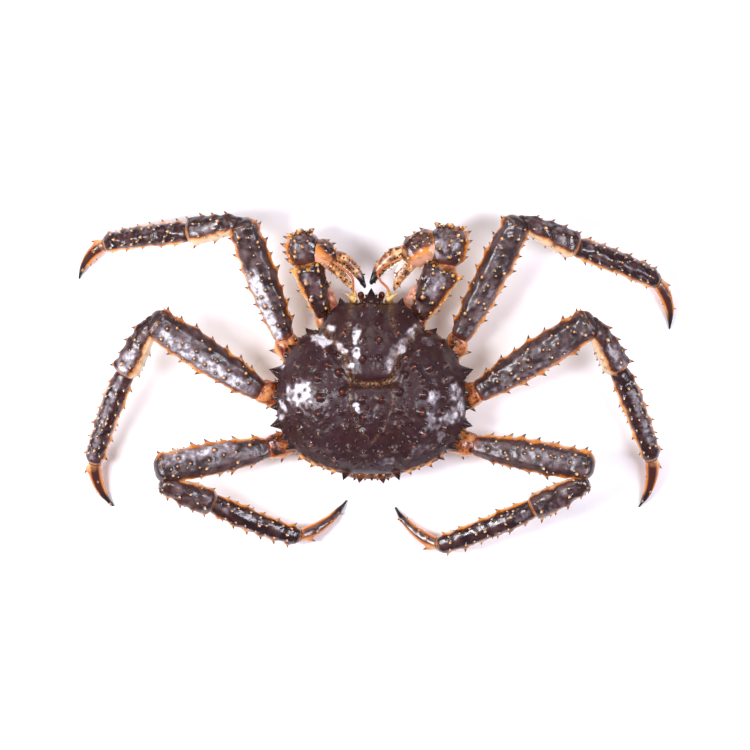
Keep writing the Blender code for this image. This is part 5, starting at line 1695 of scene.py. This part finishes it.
def eye_cornea():
    """The eye: a red-brown stalk and a darker brown cornea, smooth and wet."""
    material, tree, shader = new_material("eye_cornea", 0.08, 1.45)
    place = add_node(tree, "TexCoord", gives="Object")
    length = stored(tree, "extra")[0]
    blotch = add_node(tree, "TexNoise", {"Vector": place, "Scale": per_mm(2), "Detail": 3.0})
    stalk = add_node(tree, "ValToRGB", {0: blotch}, ((0.35, "#5a2016"), (0.65, "#9a5030")))
    cap = add_node(tree, "MapRange", {0: length, 1: 0.48, 2: 0.54})
    paint(tree, shader, stalk, [(cap, "#541f12")])
    return material


def floor():
    """A white floor."""
    half = 3.0
    corners = [(-half, -half, 0), (half, -half, 0), (half, half, 0), (-half, half, 0)]
    mesh = bpy.data.meshes.new("floor")
    mesh.from_pydata(corners, [], [(0, 1, 2, 3)])
    item = bpy.data.objects.new("floor", mesh)
    bpy.context.scene.collection.objects.link(item)
    material, _, shader = new_material("studio_floor", 0.9, 1.3)
    shader.inputs["Base Color"].default_value = linear("#fcfcfd")
    mesh.materials.append(material)


def softbox(name, azimuth, elevation, distance, size, power, colour):
    """A rectangular lamp that faces the crab, in metres and watts. Azimuth 0 is +X and 90 is +Y."""
    lamp = bpy.data.lights.new(name, "AREA")
    lamp.shape = "RECTANGLE"
    lamp.size, lamp.size_y = size
    lamp.energy = power
    lamp.color = linear(colour)[:3]
    item = bpy.data.objects.new(name, lamp)
    a, e = math.radians(azimuth), math.radians(elevation)
    back = Vector((math.cos(a) * math.cos(e), math.sin(a) * math.cos(e), math.sin(e)))
    item.location = back * distance
    item.rotation_euler = back.to_track_quat("Z", "Y").to_euler()
    bpy.context.scene.collection.objects.link(item)


def studio():
    """Softboxes high and low on either side, a broad one in front, a pale room, and the camera above."""
    floor()
    softbox("softbox_left", 184, 58, 1.05, (0.24, 0.36), 9.0, "#fbf9ff")
    softbox("softbox_left_low", 186, 40, 1.15, (0.24, 0.24), 3.6, "#fbf9ff")
    softbox("softbox_right", -5, 56, 1.05, (0.24, 0.36), 4.8, "#f3f2ff")
    softbox("softbox_right_low", -8, 38, 1.15, (0.3, 0.3), 2.0, "#f3f2ff")
    softbox("softbox_front", 90, 48, 1.5, (1.0, 0.5), 5.6, "#ffffff")
    world = bpy.data.worlds.new("studio")
    bpy.context.scene.world = world
    world.use_nodes = True
    background = world.node_tree.nodes["Background"]
    background.inputs[0].default_value = linear("#e8e2fa")
    background.inputs[1].default_value = 0.34
    lens = bpy.data.cameras.new("camera")
    lens.lens, lens.sensor_width = CAMERA_LENS, 36.0
    camera = bpy.data.objects.new("camera", lens)
    camera.location = CAMERA_PLACE
    bpy.context.scene.collection.objects.link(camera)
    bpy.context.scene.camera = camera
    bpy.context.scene.view_settings.view_transform = "Standard"


BACK, BELLY, HIP = back_cuticle(), belly_cuticle(), hip_cuticle()
JOINT_SKIN, TOOTH, FEELER, CORNEA = joint_membrane(), tooth_lime(), feeler_cuticle(), eye_cornea()
LEG_MATERIALS = {
    "coxa": HIP, "merus": leg_cuticle(), "carpus": knee_cuticle(), "propodus": shank_cuticle(),
    "dactyl": horn(),
}
CLAW_SHELL = claw_cuticle()
CLAW_MATERIALS = {
    "coxa": HIP, "merus": CLAW_SHELL, "carpus": CLAW_SHELL, "palm": palm_cuticle(), "finger": claw_finger(),
}

studio()
master = random.Random(7)
finish_piece(carapace(master), BACK, "carapace")
sternum()
abdomen()
for limb in LEG_POSES:
    leg(limb, master)
for limb in CLAWS:
    claw(limb, master)
for feeler in ANTENNAE:
    antenna(feeler)
for hand, way_out in (("right", 1), ("left", -1)):
    eye(hand, way_out)
    mouthpart(hand, way_out)
